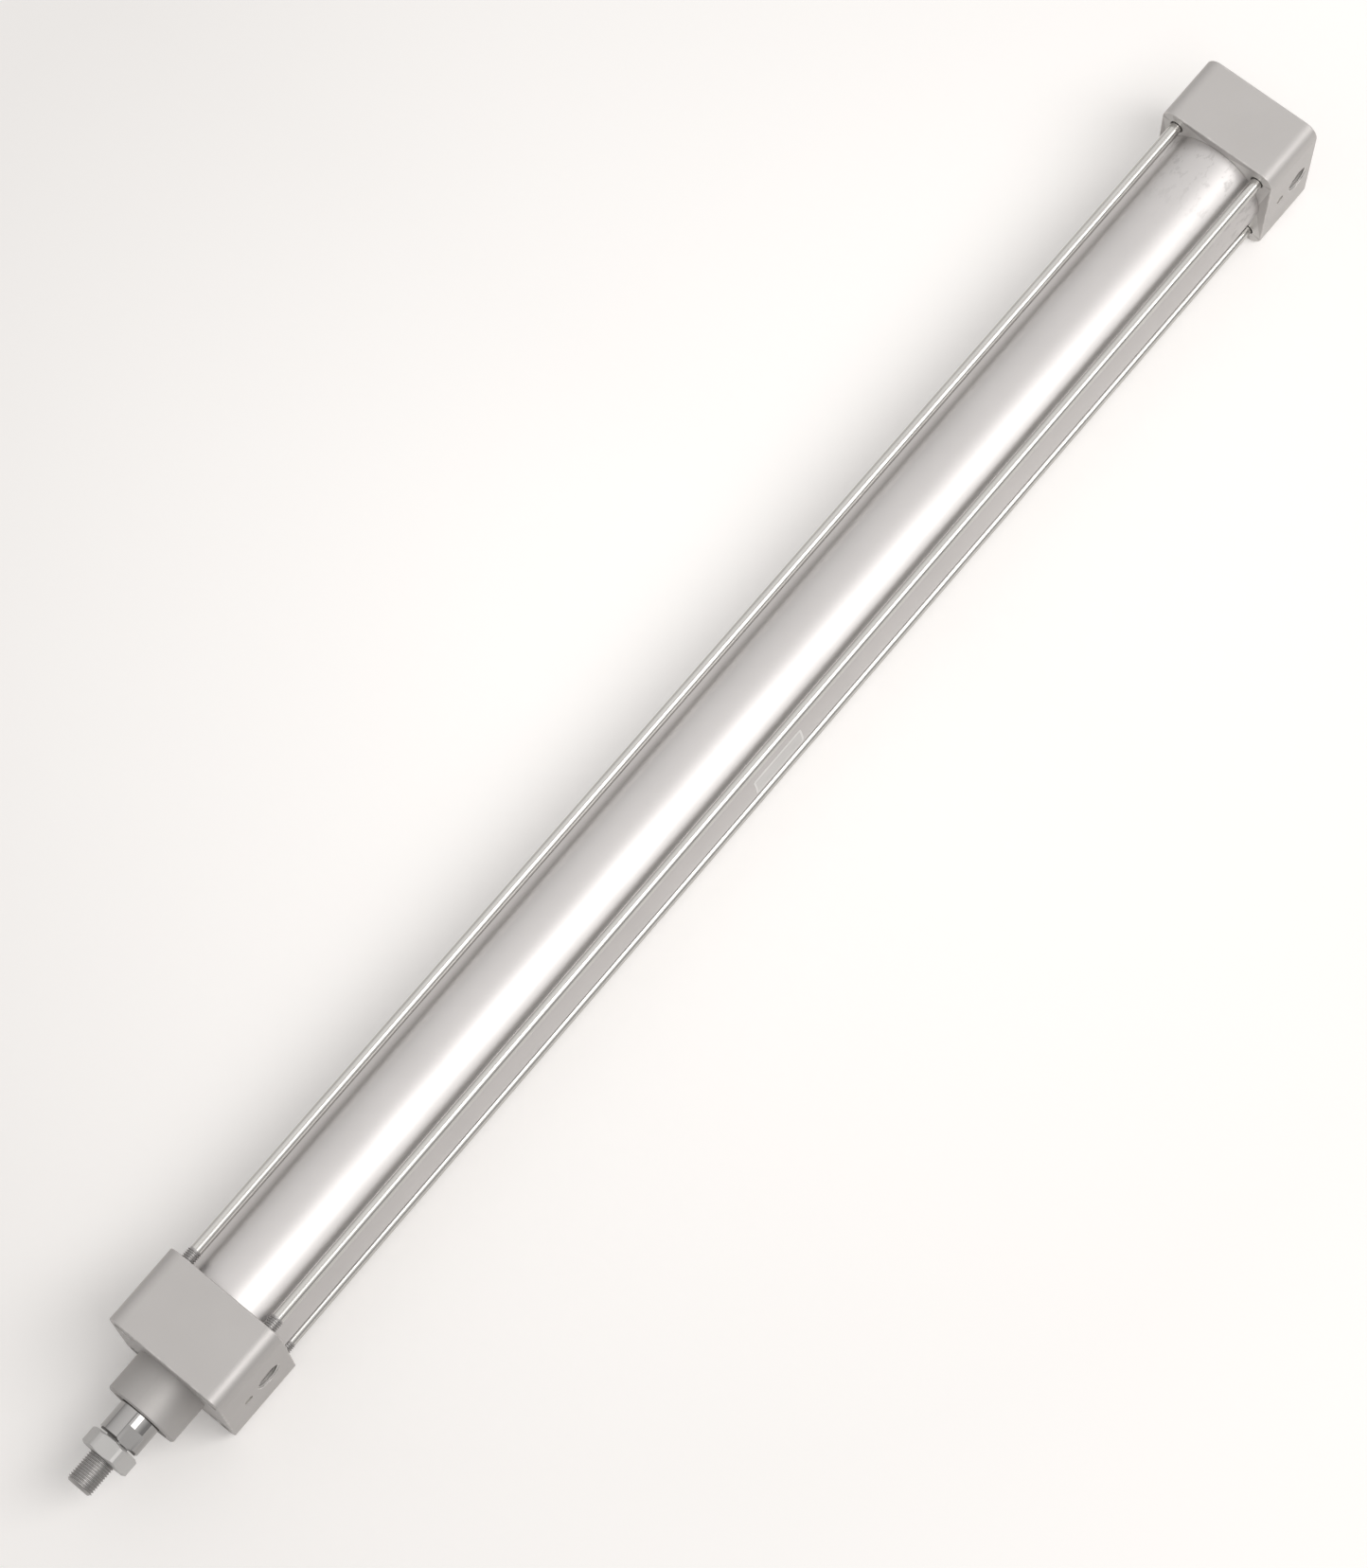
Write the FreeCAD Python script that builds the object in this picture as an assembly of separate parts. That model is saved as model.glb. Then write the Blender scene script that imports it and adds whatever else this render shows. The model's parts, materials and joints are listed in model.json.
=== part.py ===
import FreeCAD, Part
import math
import os

os.makedirs("parts", exist_ok=True)

# Double acting tie rod pneumatic cylinder, 63 mm bore and 800 mm stroke, in millimetres.
# The X axis runs along the piston rod and points out of the nose. X is 0 on the front
# mounting face of the rod cover, at the root of the nose boss. +Y is the side with the
# air ports, and +Z is up. The rod is drawn right in.

# Tube and travel
bore_diameter = 63.0
tube_wall = 1.5
stroke = 800.0
end_gap = 0.5

# Tie rods, with the gap between them and the tube
tie_rod_gap = 3.45
tie_rod_diameter = 7.0
tie_thread_diameter = 8.0
tie_thread_depth = 0.6
tie_thread_showing = 6.5
tie_thread_setback = 3.0

# Round nuts that are sunk in the covers and hold the tie rods
tie_nut_diameter = 13.8
tie_nut_length = 18.0
tie_nut_recess = 0.5
tie_nut_engagement = 9.0
tie_nut_slot_width = 2.0
tie_nut_slot_depth = 2.0

# Covers, with the distance from a tie rod's middle to the nearest side face
tie_rod_to_side = 10.25
cover_corner_radius = 9.0
cover_edge_radius = 0.8
rod_cover_length = 48.5
head_cover_length = 43.0
head_end_wall = 5.0
spigot_length = 8.0

# Nose boss of the rod cover
nose_wall = 4.5
boss_length = 25.0
boss_chamfer = 0.8

# Piston rod
rod_diameter = 25.0
rod_showing = 18.0
rod_chamfer = 1.2
rod_thread_diameter = 16.0
rod_thread_length = 30.5
rod_thread_chamfer = 1.5
rod_undercut_length = 1.0
rod_undercut_depth = 1.2
flat_depth = 1.5
flat_length = 10.0
flat_turn = 33.0
tail_diameter = 18.0
tail_end = 1.5

# Hexagon nuts on the two ends of the rod, and how deep the lock nut's thread bites into the rod's
rod_nut_width = 27.0
rod_nut_thickness = 10.5
rod_nut_turn = 3.0
rod_nut_bite = 0.5
piston_nut_width = 27.0
piston_nut_thickness = 8.0
nut_chamfer_angle = 30.0
nut_face_inset = 0.4
nut_mouth_chamfer = 0.7

# Lip seals, with the thickness of a lip at its mouth and of the solid part behind the groove
lip_thickness = 1.2
lip_root = 2.5

# Piston
piston_land = 2.0
piston_seal_width = 6.0
piston_seal_depth = 5.5
wear_ring_width = 8.0
wear_ring_depth = 2.5
wear_ring_split = 1.5
piston_radial_gap = 0.4
piston_chamfer = 0.6
static_ring_section = 1.8

# Cushions
cushion_sleeve_diameter = 34.8
cushion_sleeve_gap = 0.6
cushion_sleeve_length = 20.0
cushion_lead_length = 3.0
cushion_lead_depth = 1.0
cushion_seal_width = 5.0
cushion_seal_depth = 3.0
cushion_seal_setback = 2.0

# Guide and seals in the nose, from the front face inwards
nose_land = 1.0
retaining_ring_thickness = 1.3
retaining_ring_width = 2.6
retaining_groove_depth = 0.9
retaining_gap_angle = 50.0
retaining_lug_radius = 2.0
retaining_hole_radius = 0.9
wiper_length = 5.0
wiper_lip = 0.9
wiper_rim = 1.6
seal_washer_thickness = 1.5
rod_seal_length = 7.0
rod_seal_section = 5.0
stop_lip_length = 2.0
stop_lip_clearance = 0.5
bushing_length = 20.0
bushing_wall = 2.5
bushing_chamfer = 0.5

# Ring between each cover and the tube
tube_ring_section = 3.0
tube_ring_setback = 2.5
ring_groove_play = 0.6

# Air ports, the rod side one placed from the tube and the head side one from the chamber's floor
port_core_diameter = 15.0
port_mouth_chamfer = 0.9
rod_port_from_tube = 16.2
head_port_from_floor = 0.5

# Air passage from the tube, past the port, to the needle
passage_diameter = 3.0
needle_passage_diameter = 2.6
passage_wall = 3.0

# Cushion needles, placed along the cover from the port's middle, with depths from the port face
rod_needle_from_port = 15.8
head_needle_from_port = 16.8
needle_bore_diameter = 5.8
needle_neck_diameter = 4.4
needle_neck_length = 4.5
needle_seat_diameter = 2.4
needle_recess = 2.5
needle_head_length = 9.5
needle_stem_diameter = 3.2
needle_tip_diameter = 1.2
needle_tip_length = 2.5
needle_slot_width = 0.8
needle_slot_depth = 1.2
needle_ring_section = 1.0
needle_ring_depth = 6.5

# Number of bands that make up the round section of a rubber ring
ring_bands = 8

# Clearances, measured on the radius
running_clearance = 0.05
seat_clearance = 0.02
bolt_clearance = 0.25
nut_pocket_clearance = 0.1
needle_seat_clearance = 0.1

# Sizes that follow from the ones above
bore_radius = bore_diameter / 2
tube_radius = bore_radius + tube_wall
tie_rod_place = (tube_radius + tie_rod_gap + tie_rod_diameter / 2) * math.sqrt(0.5)
tie_thread_radius = tie_thread_diameter / 2
tie_hole_radius = tie_thread_radius + bolt_clearance
tie_core_radius = tie_thread_radius - tie_thread_depth
tie_pocket_radius = tie_nut_diameter / 2 + nut_pocket_clearance
tie_pocket_depth = tie_nut_recess + tie_nut_length
half_side = tie_rod_place + tie_rod_to_side
spigot_radius = bore_radius - running_clearance
rod_radius = rod_diameter / 2
rod_hole_radius = rod_radius + running_clearance
seal_bore_radius = rod_radius + rod_seal_section
boss_radius = seal_bore_radius + nose_wall
bushing_radius = rod_hole_radius + bushing_wall
rod_thread_radius = rod_thread_diameter / 2
rod_bite_radius = rod_thread_radius - rod_nut_bite
tail_radius = tail_diameter / 2
tail_hole_radius = tail_radius + seat_clearance
cushion_radius = cushion_sleeve_diameter / 2
cushion_hole_radius = cushion_radius + running_clearance
chamber_radius = cushion_radius + cushion_sleeve_gap
cushion_groove_radius = chamber_radius + cushion_seal_depth
port_radius = port_core_diameter / 2
head_chamber_depth = head_cover_length - head_end_wall
head_port_from_tube = head_chamber_depth - head_port_from_floor - port_radius
rod_needle_from_tube = rod_port_from_tube + rod_needle_from_port
head_needle_from_tube = head_port_from_tube - head_needle_from_port

# The passage runs midway between the groove in the chamber and the one in the spigot
passage_up = port_radius + passage_wall + passage_diameter / 2
passage_place = (cushion_groove_radius + spigot_radius - tube_ring_section) / 2
passage_out = math.sqrt(passage_place ** 2 - passage_up ** 2)
needle_seat_depth = half_side - passage_out + needle_passage_diameter / 2
needle_bore_depth = needle_seat_depth - needle_neck_length
needle_bore_radius = needle_bore_diameter / 2
needle_radius = needle_bore_radius - running_clearance

piston_length = 4 * piston_land + 2 * piston_seal_width + wear_ring_width
wear_ring_from_rear = 2 * piston_land + piston_seal_width
front_seal_from_rear = wear_ring_from_rear + wear_ring_width + piston_land
static_ring_from_rear = piston_length / 2
tube_length = stroke + piston_length + 2 * end_gap + 2 * spigot_length

# Places along X
tube_front_x = -rod_cover_length
tube_rear_x = tube_front_x - tube_length
head_face_x = tube_rear_x - head_cover_length
piston_rear_x = tube_rear_x + spigot_length + end_gap
piston_front_x = piston_rear_x + piston_length
rod_seat_x = piston_front_x + cushion_sleeve_length
shoulder_x = boss_length + rod_showing
rod_tip_x = shoulder_x + rod_thread_length
rod_nut_x = shoulder_x + rod_undercut_length
piston_nut_x = piston_rear_x - cushion_sleeve_length - piston_nut_thickness
rod_tail_x = piston_nut_x - tail_end
retaining_ring_x = boss_length - nose_land - retaining_ring_thickness
wiper_x = retaining_ring_x - wiper_length
seal_washer_x = wiper_x - seal_washer_thickness
rod_seal_x = seal_washer_x - rod_seal_length
bushing_front_x = rod_seal_x - stop_lip_length
bushing_rear_x = bushing_front_x - bushing_length

ORIGIN = FreeCAD.Vector(0, 0, 0)
ALONG = FreeCAD.Vector(1, 0, 0)
SIDE = FreeCAD.Vector(0, 1, 0)
UP = FreeCAD.Vector(0, 0, 1)
INTO_SIDE = FreeCAD.Vector(0, -1, 0)

CORNERS = [
    FreeCAD.Vector(0, side * tie_rod_place, up * tie_rod_place)
    for side, up in ((-1, 1), (1, 1), (1, -1), (-1, -1))
]


class CoverPlace:
    """Where a cover's features lie: inward is the direction from its outer face to the tube."""

    def __init__(self, outer_x, inward, length, port_from_tube, needle_from_tube, floor_x):
        self.outer_x = outer_x
        self.inward = inward
        self.tube_x = outer_x + inward * length
        self.spigot_x = self.tube_x + inward * spigot_length
        self.port_x = self.tube_x - inward * port_from_tube
        self.needle_x = self.tube_x - inward * needle_from_tube
        self.floor_x = floor_x


front = CoverPlace(0.0, -1, rod_cover_length, rod_port_from_tube, rod_needle_from_tube, bushing_rear_x)
rear = CoverPlace(
    head_face_x, 1, head_cover_length, head_port_from_tube, head_needle_from_tube,
    tube_rear_x - head_chamber_depth,
)


def turned(profile, base=ORIGIN, axis=ALONG):
    """Solid of revolution about an axis through base, from (distance along, radius) points."""
    points = [base + axis * along + UP * radius for along, radius in profile]
    face = Part.Face(Part.makePolygon(points + [points[0]]))
    solid = face.revolve(base, axis, 360).Solids[0]
    return solid if solid.Volume > 0 else solid.reversed()


def sleeve(start, end, inner_radius, outer_radius, chamfer=0.0):
    """Round sleeve along X with its four edges chamfered alike."""
    low, high = min(start, end), max(start, end)
    if chamfer == 0.0:
        return turned([
            (low, inner_radius), (high, inner_radius), (high, outer_radius), (low, outer_radius),
        ])
    return turned([
        (low + chamfer, inner_radius), (high - chamfer, inner_radius), (high, inner_radius + chamfer),
        (high, outer_radius - chamfer), (high - chamfer, outer_radius), (low + chamfer, outer_radius),
        (low, outer_radius - chamfer), (low, inner_radius + chamfer),
    ])


def rod_between(start, end, radius, centre=ORIGIN):
    """Plain round bar or drilled hole along X between two X places."""
    base = centre + ALONG * min(start, end)
    return Part.makeCylinder(radius, abs(end - start), base, ALONG)


def lip_seal(closed_x, width, facing, inner_radius, outer_radius):
    """Ring with a V groove in its face, so that the air spreads its two lips."""
    mouth_x = closed_x + facing * width
    root_x = closed_x + facing * lip_root
    return turned([
        (closed_x, inner_radius), (mouth_x, inner_radius), (mouth_x, inner_radius + lip_thickness),
        (root_x, (inner_radius + outer_radius) / 2), (mouth_x, outer_radius - lip_thickness),
        (mouth_x, outer_radius), (closed_x, outer_radius),
    ])


def round_ring(centre, axis, outer_radius, section):
    """Rubber ring of nearly round section, made of bands, with the given outer radius."""
    middle = outer_radius - section / 2
    angles = [2 * math.pi * band / ring_bands for band in range(ring_bands)]
    profile = [
        (section / 2 * math.sin(angle), middle + section / 2 * math.cos(angle)) for angle in angles
    ]
    return turned(profile, centre, axis)


def hexagon_nut(start, thickness, across_flats, hole_radius, turn):
    """Hexagon nut along X, with its corners turned off at both faces and a chamfered hole.

    A flat faces +Z at turn 0, and turn leans it towards +Y, in degrees.
    """
    corner_radius = across_flats / math.sqrt(3)
    corners = []
    for index in range(7):
        angle = math.radians(60 * index + 30 - turn)
        corners.append(UP * corner_radius * math.cos(angle) + SIDE * corner_radius * -math.sin(angle))
    prism = Part.Face(Part.makePolygon([ALONG * start + corner for corner in corners]))
    prism = prism.extrude(ALONG * thickness)
    rim = across_flats / 2 - nut_face_inset
    drop = (corner_radius - rim) * math.tan(math.radians(nut_chamfer_angle))
    end = start + thickness
    crown = turned([
        (start, 0), (start, rim), (start + drop, corner_radius),
        (end - drop, corner_radius), (end, rim), (end, 0),
    ])
    mouth_radius = hole_radius + nut_mouth_chamfer
    hole = turned([
        (start, 0), (start, mouth_radius), (start + nut_mouth_chamfer, hole_radius),
        (end - nut_mouth_chamfer, hole_radius), (end, mouth_radius), (end, 0),
    ])
    return prism.common(crown).cut(hole)


def rounded_square(x):
    """Face across X at the given place, in the outline of a cover."""
    straight = half_side - cover_corner_radius
    edges = []
    for quarter in range(4):
        turn = FreeCAD.Rotation(ALONG, 90 * quarter)
        start = turn.multVec(FreeCAD.Vector(0, -straight, half_side))
        end = turn.multVec(FreeCAD.Vector(0, straight, half_side))
        diagonal = cover_corner_radius * math.sqrt(0.5)
        middle = turn.multVec(FreeCAD.Vector(0, -straight - diagonal, straight + diagonal))
        previous = turn.multVec(FreeCAD.Vector(0, -half_side, straight))
        edges.append(Part.Arc(previous, middle, start).toShape())
        edges.append(Part.LineSegment(start, end).toShape())
    wire = Part.Wire(Part.__sortEdges__(edges))
    wire.translate(ALONG * x)
    return Part.Face(wire)


def cover_block(place):
    """Square block of a cover with rounded corners and softened end edges."""
    block = rounded_square(place.outer_x).extrude(ALONG * (place.tube_x - place.outer_x))
    end_edges = [
        edge for edge in block.Edges
        if abs(edge.BoundBox.XMax - edge.BoundBox.XMin) < cover_edge_radius
    ]
    return block.makeFillet(cover_edge_radius, end_edges)


def spigot(place):
    """Round end of a cover that fits in the tube, with the groove for its rubber ring."""
    ring = rod_between(place.tube_x, place.spigot_x, spigot_radius)
    groove_start = place.spigot_x - place.inward * tube_ring_setback
    groove_end = groove_start - place.inward * (tube_ring_section + ring_groove_play)
    return ring.cut(sleeve(groove_start, groove_end, spigot_radius - tube_ring_section, tube_radius))


def chamber(place):
    """Hollow of a cover that the cushion sleeve enters, with the groove for its seal."""
    hollow = rod_between(place.floor_x, place.spigot_x, chamber_radius)
    groove_start = place.spigot_x - place.inward * cushion_seal_setback
    groove_end = groove_start - place.inward * cushion_seal_width
    return hollow.fuse(rod_between(groove_start, groove_end, cushion_groove_radius))


def port_cut(place):
    """Air port from the side face into the chamber, with a chamfered mouth."""
    base = FreeCAD.Vector(place.port_x, half_side, 0)
    profile = [
        (0, 0), (0, port_radius + port_mouth_chamfer), (port_mouth_chamfer, port_radius),
        (half_side, port_radius), (half_side, 0),
    ]
    return turned(profile, base, INTO_SIDE)


def needle_cut(place):
    """Stepped hole of the cushion needle, from the side face into the chamber."""
    neck = needle_neck_diameter / 2
    seat = needle_seat_diameter / 2
    base = FreeCAD.Vector(place.needle_x, half_side, 0)
    profile = [
        (0, 0), (0, needle_bore_radius), (needle_bore_depth, needle_bore_radius),
        (needle_bore_depth, neck), (needle_seat_depth, neck), (needle_seat_depth, seat),
        (half_side, seat), (half_side, 0),
    ]
    return turned(profile, base, INTO_SIDE)


def passage_cut(place):
    """Two drilled passages that lead air from the tube, past the port, to the needle's neck."""
    line = SIDE * passage_out + UP * passage_up
    end_x = place.needle_x - place.inward * passage_diameter / 2
    from_tube = rod_between(place.spigot_x, end_x, passage_diameter / 2, line)
    meeting = line + ALONG * place.needle_x
    to_needle = Part.makeCylinder(needle_passage_diameter / 2, passage_up, meeting, UP * -1)
    return from_tube.fuse(to_needle)


def cover(place):
    """What both covers share: block, spigot, chamber, port, needle hole and tie rod holes."""
    body = cover_block(place).fuse(spigot(place))
    cuts = [chamber(place), port_cut(place), needle_cut(place), passage_cut(place)]
    pocket_x = place.outer_x + place.inward * tie_pocket_depth
    for corner in CORNERS:
        cuts.append(rod_between(place.outer_x, place.tube_x, tie_hole_radius, corner))
        cuts.append(rod_between(place.outer_x, pocket_x, tie_pocket_radius, corner))
    return body.cut(cuts)


def boss():
    """Nose boss, one piece with the rod cover, reaching back into the block."""
    return turned([
        (-cover_edge_radius, 0), (-cover_edge_radius, boss_radius),
        (boss_length - boss_chamfer, boss_radius), (boss_length, boss_radius - boss_chamfer),
        (boss_length, 0),
    ])


def nose_bore():
    """Stepped bore for the bushing, the rod seals and the retaining ring."""
    lip_radius = rod_radius + stop_lip_clearance
    groove_radius = seal_bore_radius + retaining_groove_depth
    groove_end = retaining_ring_x + retaining_ring_thickness
    return turned([
        (bushing_rear_x, 0), (bushing_rear_x, bushing_radius + seat_clearance),
        (bushing_front_x, bushing_radius + seat_clearance), (bushing_front_x, lip_radius),
        (rod_seal_x, lip_radius), (rod_seal_x, seal_bore_radius), (retaining_ring_x, seal_bore_radius),
        (retaining_ring_x, groove_radius), (groove_end, groove_radius), (groove_end, seal_bore_radius),
        (boss_length, seal_bore_radius), (boss_length, 0),
    ])


def rod_cover():
    """Front cover with the nose boss."""
    return cover(front).fuse(boss()).cut(nose_bore()).removeSplitter()


def head_cover():
    """Rear cover, plain on its outer face."""
    return cover(rear).removeSplitter()


def cylinder_tube():
    """Round tube clamped between the faces of the two covers."""
    return sleeve(tube_rear_x, tube_front_x, bore_radius, tube_radius)


def tie_rod(corner):
    """Tie rod with a thicker rolled thread at each end, the front one partly showing."""
    body = tie_rod_diameter / 2
    front_end = tie_nut_engagement - tie_pocket_depth
    rear_end = head_face_x - front_end
    front_thread = tube_front_x - tie_thread_showing
    rear_thread = tube_rear_x - tie_thread_setback
    return turned([
        (front_end, 0), (front_end, tie_core_radius), (front_end - tie_thread_depth, tie_thread_radius),
        (front_thread, tie_thread_radius), (front_thread, body), (rear_thread, body),
        (rear_thread, tie_thread_radius), (rear_end + tie_thread_depth, tie_thread_radius),
        (rear_end, tie_core_radius), (rear_end, 0),
    ], corner)


def tie_rod_nut(place, corner):
    """Round nut sunk in a cover, slotted across, whose outer half takes a mounting screw."""
    outer_x = place.outer_x + place.inward * tie_nut_recess
    inner_x = outer_x + place.inward * tie_nut_length
    step_x = inner_x - place.inward * tie_nut_engagement
    outside = tie_nut_diameter / 2
    wide = tie_thread_radius + seat_clearance
    nut = turned([
        (outer_x, tie_core_radius), (step_x, tie_core_radius), (step_x, wide), (inner_x, wide),
        (inner_x, outside), (outer_x, outside),
    ], corner)
    slot_low = min(outer_x, outer_x + place.inward * tie_nut_slot_depth)
    slot_base = corner + ALONG * slot_low - SIDE * outside - UP * tie_nut_slot_width / 2
    slot = Part.makeBox(tie_nut_slot_depth, tie_nut_diameter, tie_nut_slot_width, slot_base)
    return nut.cut(slot)


def tube_ring(place):
    """Rubber ring between a spigot and the tube."""
    middle = tube_ring_setback + (tube_ring_section + ring_groove_play) / 2
    centre = ALONG * (place.spigot_x - place.inward * middle)
    section = tube_ring_section - 2 * running_clearance
    return round_ring(centre, ALONG, bore_radius - seat_clearance, section)


def rod_bushing():
    """Bearing bush that guides the rod, pressed in against the stop lip."""
    return sleeve(bushing_rear_x, bushing_front_x, rod_hole_radius, bushing_radius, bushing_chamfer)


def rod_seal():
    """Lip seal round the rod, open towards the pressure."""
    return lip_seal(rod_seal_x + rod_seal_length, rod_seal_length, -1, rod_hole_radius,
                    seal_bore_radius - seat_clearance)


def seal_washer():
    """Flat washer between the rod seal and the wiper."""
    return sleeve(seal_washer_x, seal_washer_x + seal_washer_thickness,
                  rod_radius + stop_lip_clearance, seal_bore_radius - seat_clearance)


def rod_wiper():
    """Wiper ring with a thin lip that touches the rod at its front."""
    outside = seal_bore_radius - seat_clearance
    hollow = rod_hole_radius + wiper_lip
    front_x = wiper_x + wiper_length
    middle_x = wiper_x + wiper_length / 2
    return turned([
        (wiper_x, hollow), (middle_x, hollow), (front_x, rod_hole_radius),
        (front_x, rod_hole_radius + wiper_lip), (middle_x, hollow + wiper_lip),
        (middle_x, outside - wiper_rim), (front_x, outside - wiper_rim), (front_x, outside),
        (wiper_x, outside),
    ])


def retaining_ring():
    """Open spring ring in the nose, with a drilled lug at each end."""
    outside = seal_bore_radius + retaining_groove_depth - seat_clearance
    inside = outside - retaining_ring_width
    ring = sleeve(retaining_ring_x, retaining_ring_x + retaining_ring_thickness, inside, outside)
    reach = outside * 2
    half_gap = math.radians(retaining_gap_angle / 2)
    base = ALONG * retaining_ring_x
    gap_sides = [SIDE * side * math.sin(half_gap) - UP * math.cos(half_gap) for side in (-1, 1)]
    wedge = [base, base + gap_sides[0] * reach, base + gap_sides[1] * reach, base]
    ring = ring.cut(Part.Face(Part.makePolygon(wedge)).extrude(ALONG * retaining_ring_thickness))
    lug_place = seal_bore_radius - retaining_lug_radius - running_clearance
    for gap_side in gap_sides:
        centre = base + gap_side * lug_place
        lug = Part.makeCylinder(retaining_lug_radius, retaining_ring_thickness, centre, ALONG)
        hole = Part.makeCylinder(retaining_hole_radius, retaining_ring_thickness, centre, ALONG)
        ring = ring.fuse(lug).cut(hole)
    return ring.removeSplitter()


def cushion_seal(place):
    """Lip ring in a cover that closes round the cushion sleeve."""
    open_x = place.spigot_x - place.inward * cushion_seal_setback
    closed_x = open_x - place.inward * cushion_seal_width
    return lip_seal(closed_x, cushion_seal_width, place.inward, cushion_hole_radius,
                    cushion_groove_radius - seat_clearance)


def needle(place):
    """Adjusting needle with a slotted head, a groove for its ring and a tapered tip."""
    stem = needle_stem_diameter / 2
    tip = needle_tip_diameter / 2
    slope = needle_tip_length / (stem - tip)
    seat_contact = needle_seat_diameter / 2 - needle_seat_clearance
    taper_start = needle_seat_depth - (stem - seat_contact) * slope
    head_end = needle_recess + needle_head_length
    groove_half = (needle_ring_section + ring_groove_play) / 2
    groove_radius = needle_radius - needle_ring_section
    groove_start = needle_ring_depth - groove_half
    groove_end = needle_ring_depth + groove_half
    tip_end = taper_start + needle_tip_length
    base = FreeCAD.Vector(place.needle_x, half_side, 0)
    solid = turned([
        (needle_recess, 0), (needle_recess, needle_radius), (groove_start, needle_radius),
        (groove_start, groove_radius), (groove_end, groove_radius), (groove_end, needle_radius),
        (head_end, needle_radius), (head_end, stem), (taper_start, stem), (tip_end, tip), (tip_end, 0),
    ], base, INTO_SIDE)
    slot_base = base + INTO_SIDE * (needle_recess + needle_slot_depth)
    slot_base = slot_base - ALONG * needle_radius - UP * needle_slot_width / 2
    slot = Part.makeBox(needle_bore_diameter, needle_slot_depth, needle_slot_width, slot_base)
    return solid.cut(slot)


def needle_ring(place):
    """Rubber ring in the groove of a needle."""
    centre = FreeCAD.Vector(place.needle_x, half_side - needle_ring_depth, 0)
    return round_ring(centre, SIDE, needle_radius, needle_ring_section - 2 * seat_clearance)


def piston_rod():
    """Rod with a threaded nose, wrench flats and a thinner tail that carries the piston.

    Under the lock nut the thread is drawn at the radius where it meets the nut's thread.
    """
    neck = rod_thread_radius - rod_undercut_depth
    nut_end_x = rod_nut_x + rod_nut_thickness
    solid = turned([
        (rod_tail_x, 0), (rod_tail_x, tail_radius), (rod_seat_x, tail_radius), (rod_seat_x, rod_radius),
        (shoulder_x - rod_chamfer, rod_radius), (shoulder_x, rod_radius - rod_chamfer),
        (shoulder_x, neck), (rod_nut_x, neck), (rod_nut_x, rod_bite_radius),
        (nut_end_x, rod_bite_radius), (nut_end_x, rod_thread_radius),
        (rod_tip_x - rod_thread_chamfer, rod_thread_radius),
        (rod_tip_x, rod_thread_radius - rod_thread_chamfer), (rod_tip_x, 0),
    ])
    flat_base = FreeCAD.Vector(shoulder_x - flat_length, -rod_radius, rod_radius - flat_depth)
    for half_turn in (0, 180):
        cut = Part.makeBox(flat_length, rod_diameter, rod_radius, flat_base)
        cut.rotate(ORIGIN, ALONG, half_turn - flat_turn)
        solid = solid.cut(cut)
    return solid


def piston_groove(rear_x, width, depth):
    """Groove in the piston, counted forward from its rear face."""
    start = piston_rear_x + rear_x
    return sleeve(start, start + width, bore_radius - depth, tube_radius)


def piston():
    """Piston with grooves for two lip seals and a wear ring, and one in its hole."""
    outside = bore_radius - piston_radial_gap
    solid = sleeve(piston_rear_x, piston_front_x, tail_hole_radius, outside, piston_chamfer)
    width = static_ring_section + ring_groove_play
    start = piston_rear_x + static_ring_from_rear - width / 2
    return solid.cut([
        piston_groove(piston_land, piston_seal_width, piston_seal_depth),
        piston_groove(wear_ring_from_rear, wear_ring_width, wear_ring_depth),
        piston_groove(front_seal_from_rear, piston_seal_width, piston_seal_depth),
        rod_between(start, start + width, tail_radius + static_ring_section),
    ])


def piston_seal(from_rear, facing):
    """Lip seal of the piston, open towards its own end."""
    start = piston_rear_x + from_rear
    closed_x = start if facing > 0 else start + piston_seal_width
    inside = bore_radius - piston_seal_depth + seat_clearance
    return lip_seal(closed_x, piston_seal_width, facing, inside, bore_radius - running_clearance)


def wear_ring():
    """Split guide ring in the middle groove of the piston."""
    start = piston_rear_x + wear_ring_from_rear
    ring = sleeve(start, start + wear_ring_width, bore_radius - wear_ring_depth + seat_clearance,
                  bore_radius - running_clearance)
    split_base = FreeCAD.Vector(start, -wear_ring_split / 2, 0)
    return ring.cut(Part.makeBox(wear_ring_width, wear_ring_split, bore_diameter, split_base))


def piston_static_ring():
    """Rubber ring between the piston and the tail of the rod."""
    centre = ALONG * (piston_rear_x + static_ring_from_rear)
    section = static_ring_section - 2 * seat_clearance
    return round_ring(centre, ALONG, tail_radius + static_ring_section - seat_clearance, section)


def cushion_sleeve(piston_x, outward):
    """Sleeve clamped on the rod against the piston, with a tapered leading end."""
    end_x = piston_x + outward * cushion_sleeve_length
    lead_x = end_x - outward * cushion_lead_length
    lead_radius = cushion_radius - cushion_lead_depth
    return turned([
        (piston_x, tail_hole_radius), (end_x, tail_hole_radius), (end_x, lead_radius),
        (lead_x, cushion_radius), (piston_x, cushion_radius),
    ])


def rod_end_nut():
    """Lock nut on the rod's thread, just off the shoulder."""
    hole_radius = rod_bite_radius + seat_clearance
    return hexagon_nut(rod_nut_x, rod_nut_thickness, rod_nut_width, hole_radius, rod_nut_turn)


def piston_nut():
    """Nut on the tail that clamps the sleeves and the piston."""
    return hexagon_nut(piston_nut_x, piston_nut_thickness, piston_nut_width, tail_hole_radius, 0.0)


def save(name, shape):
    """Write one sub-part, which has to be one valid solid."""
    if not shape.isValid() or len(shape.Solids) != 1:
        raise ValueError(name + " is not one valid solid")
    shape.Solids[0].exportStep("parts/" + name + ".step")


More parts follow.
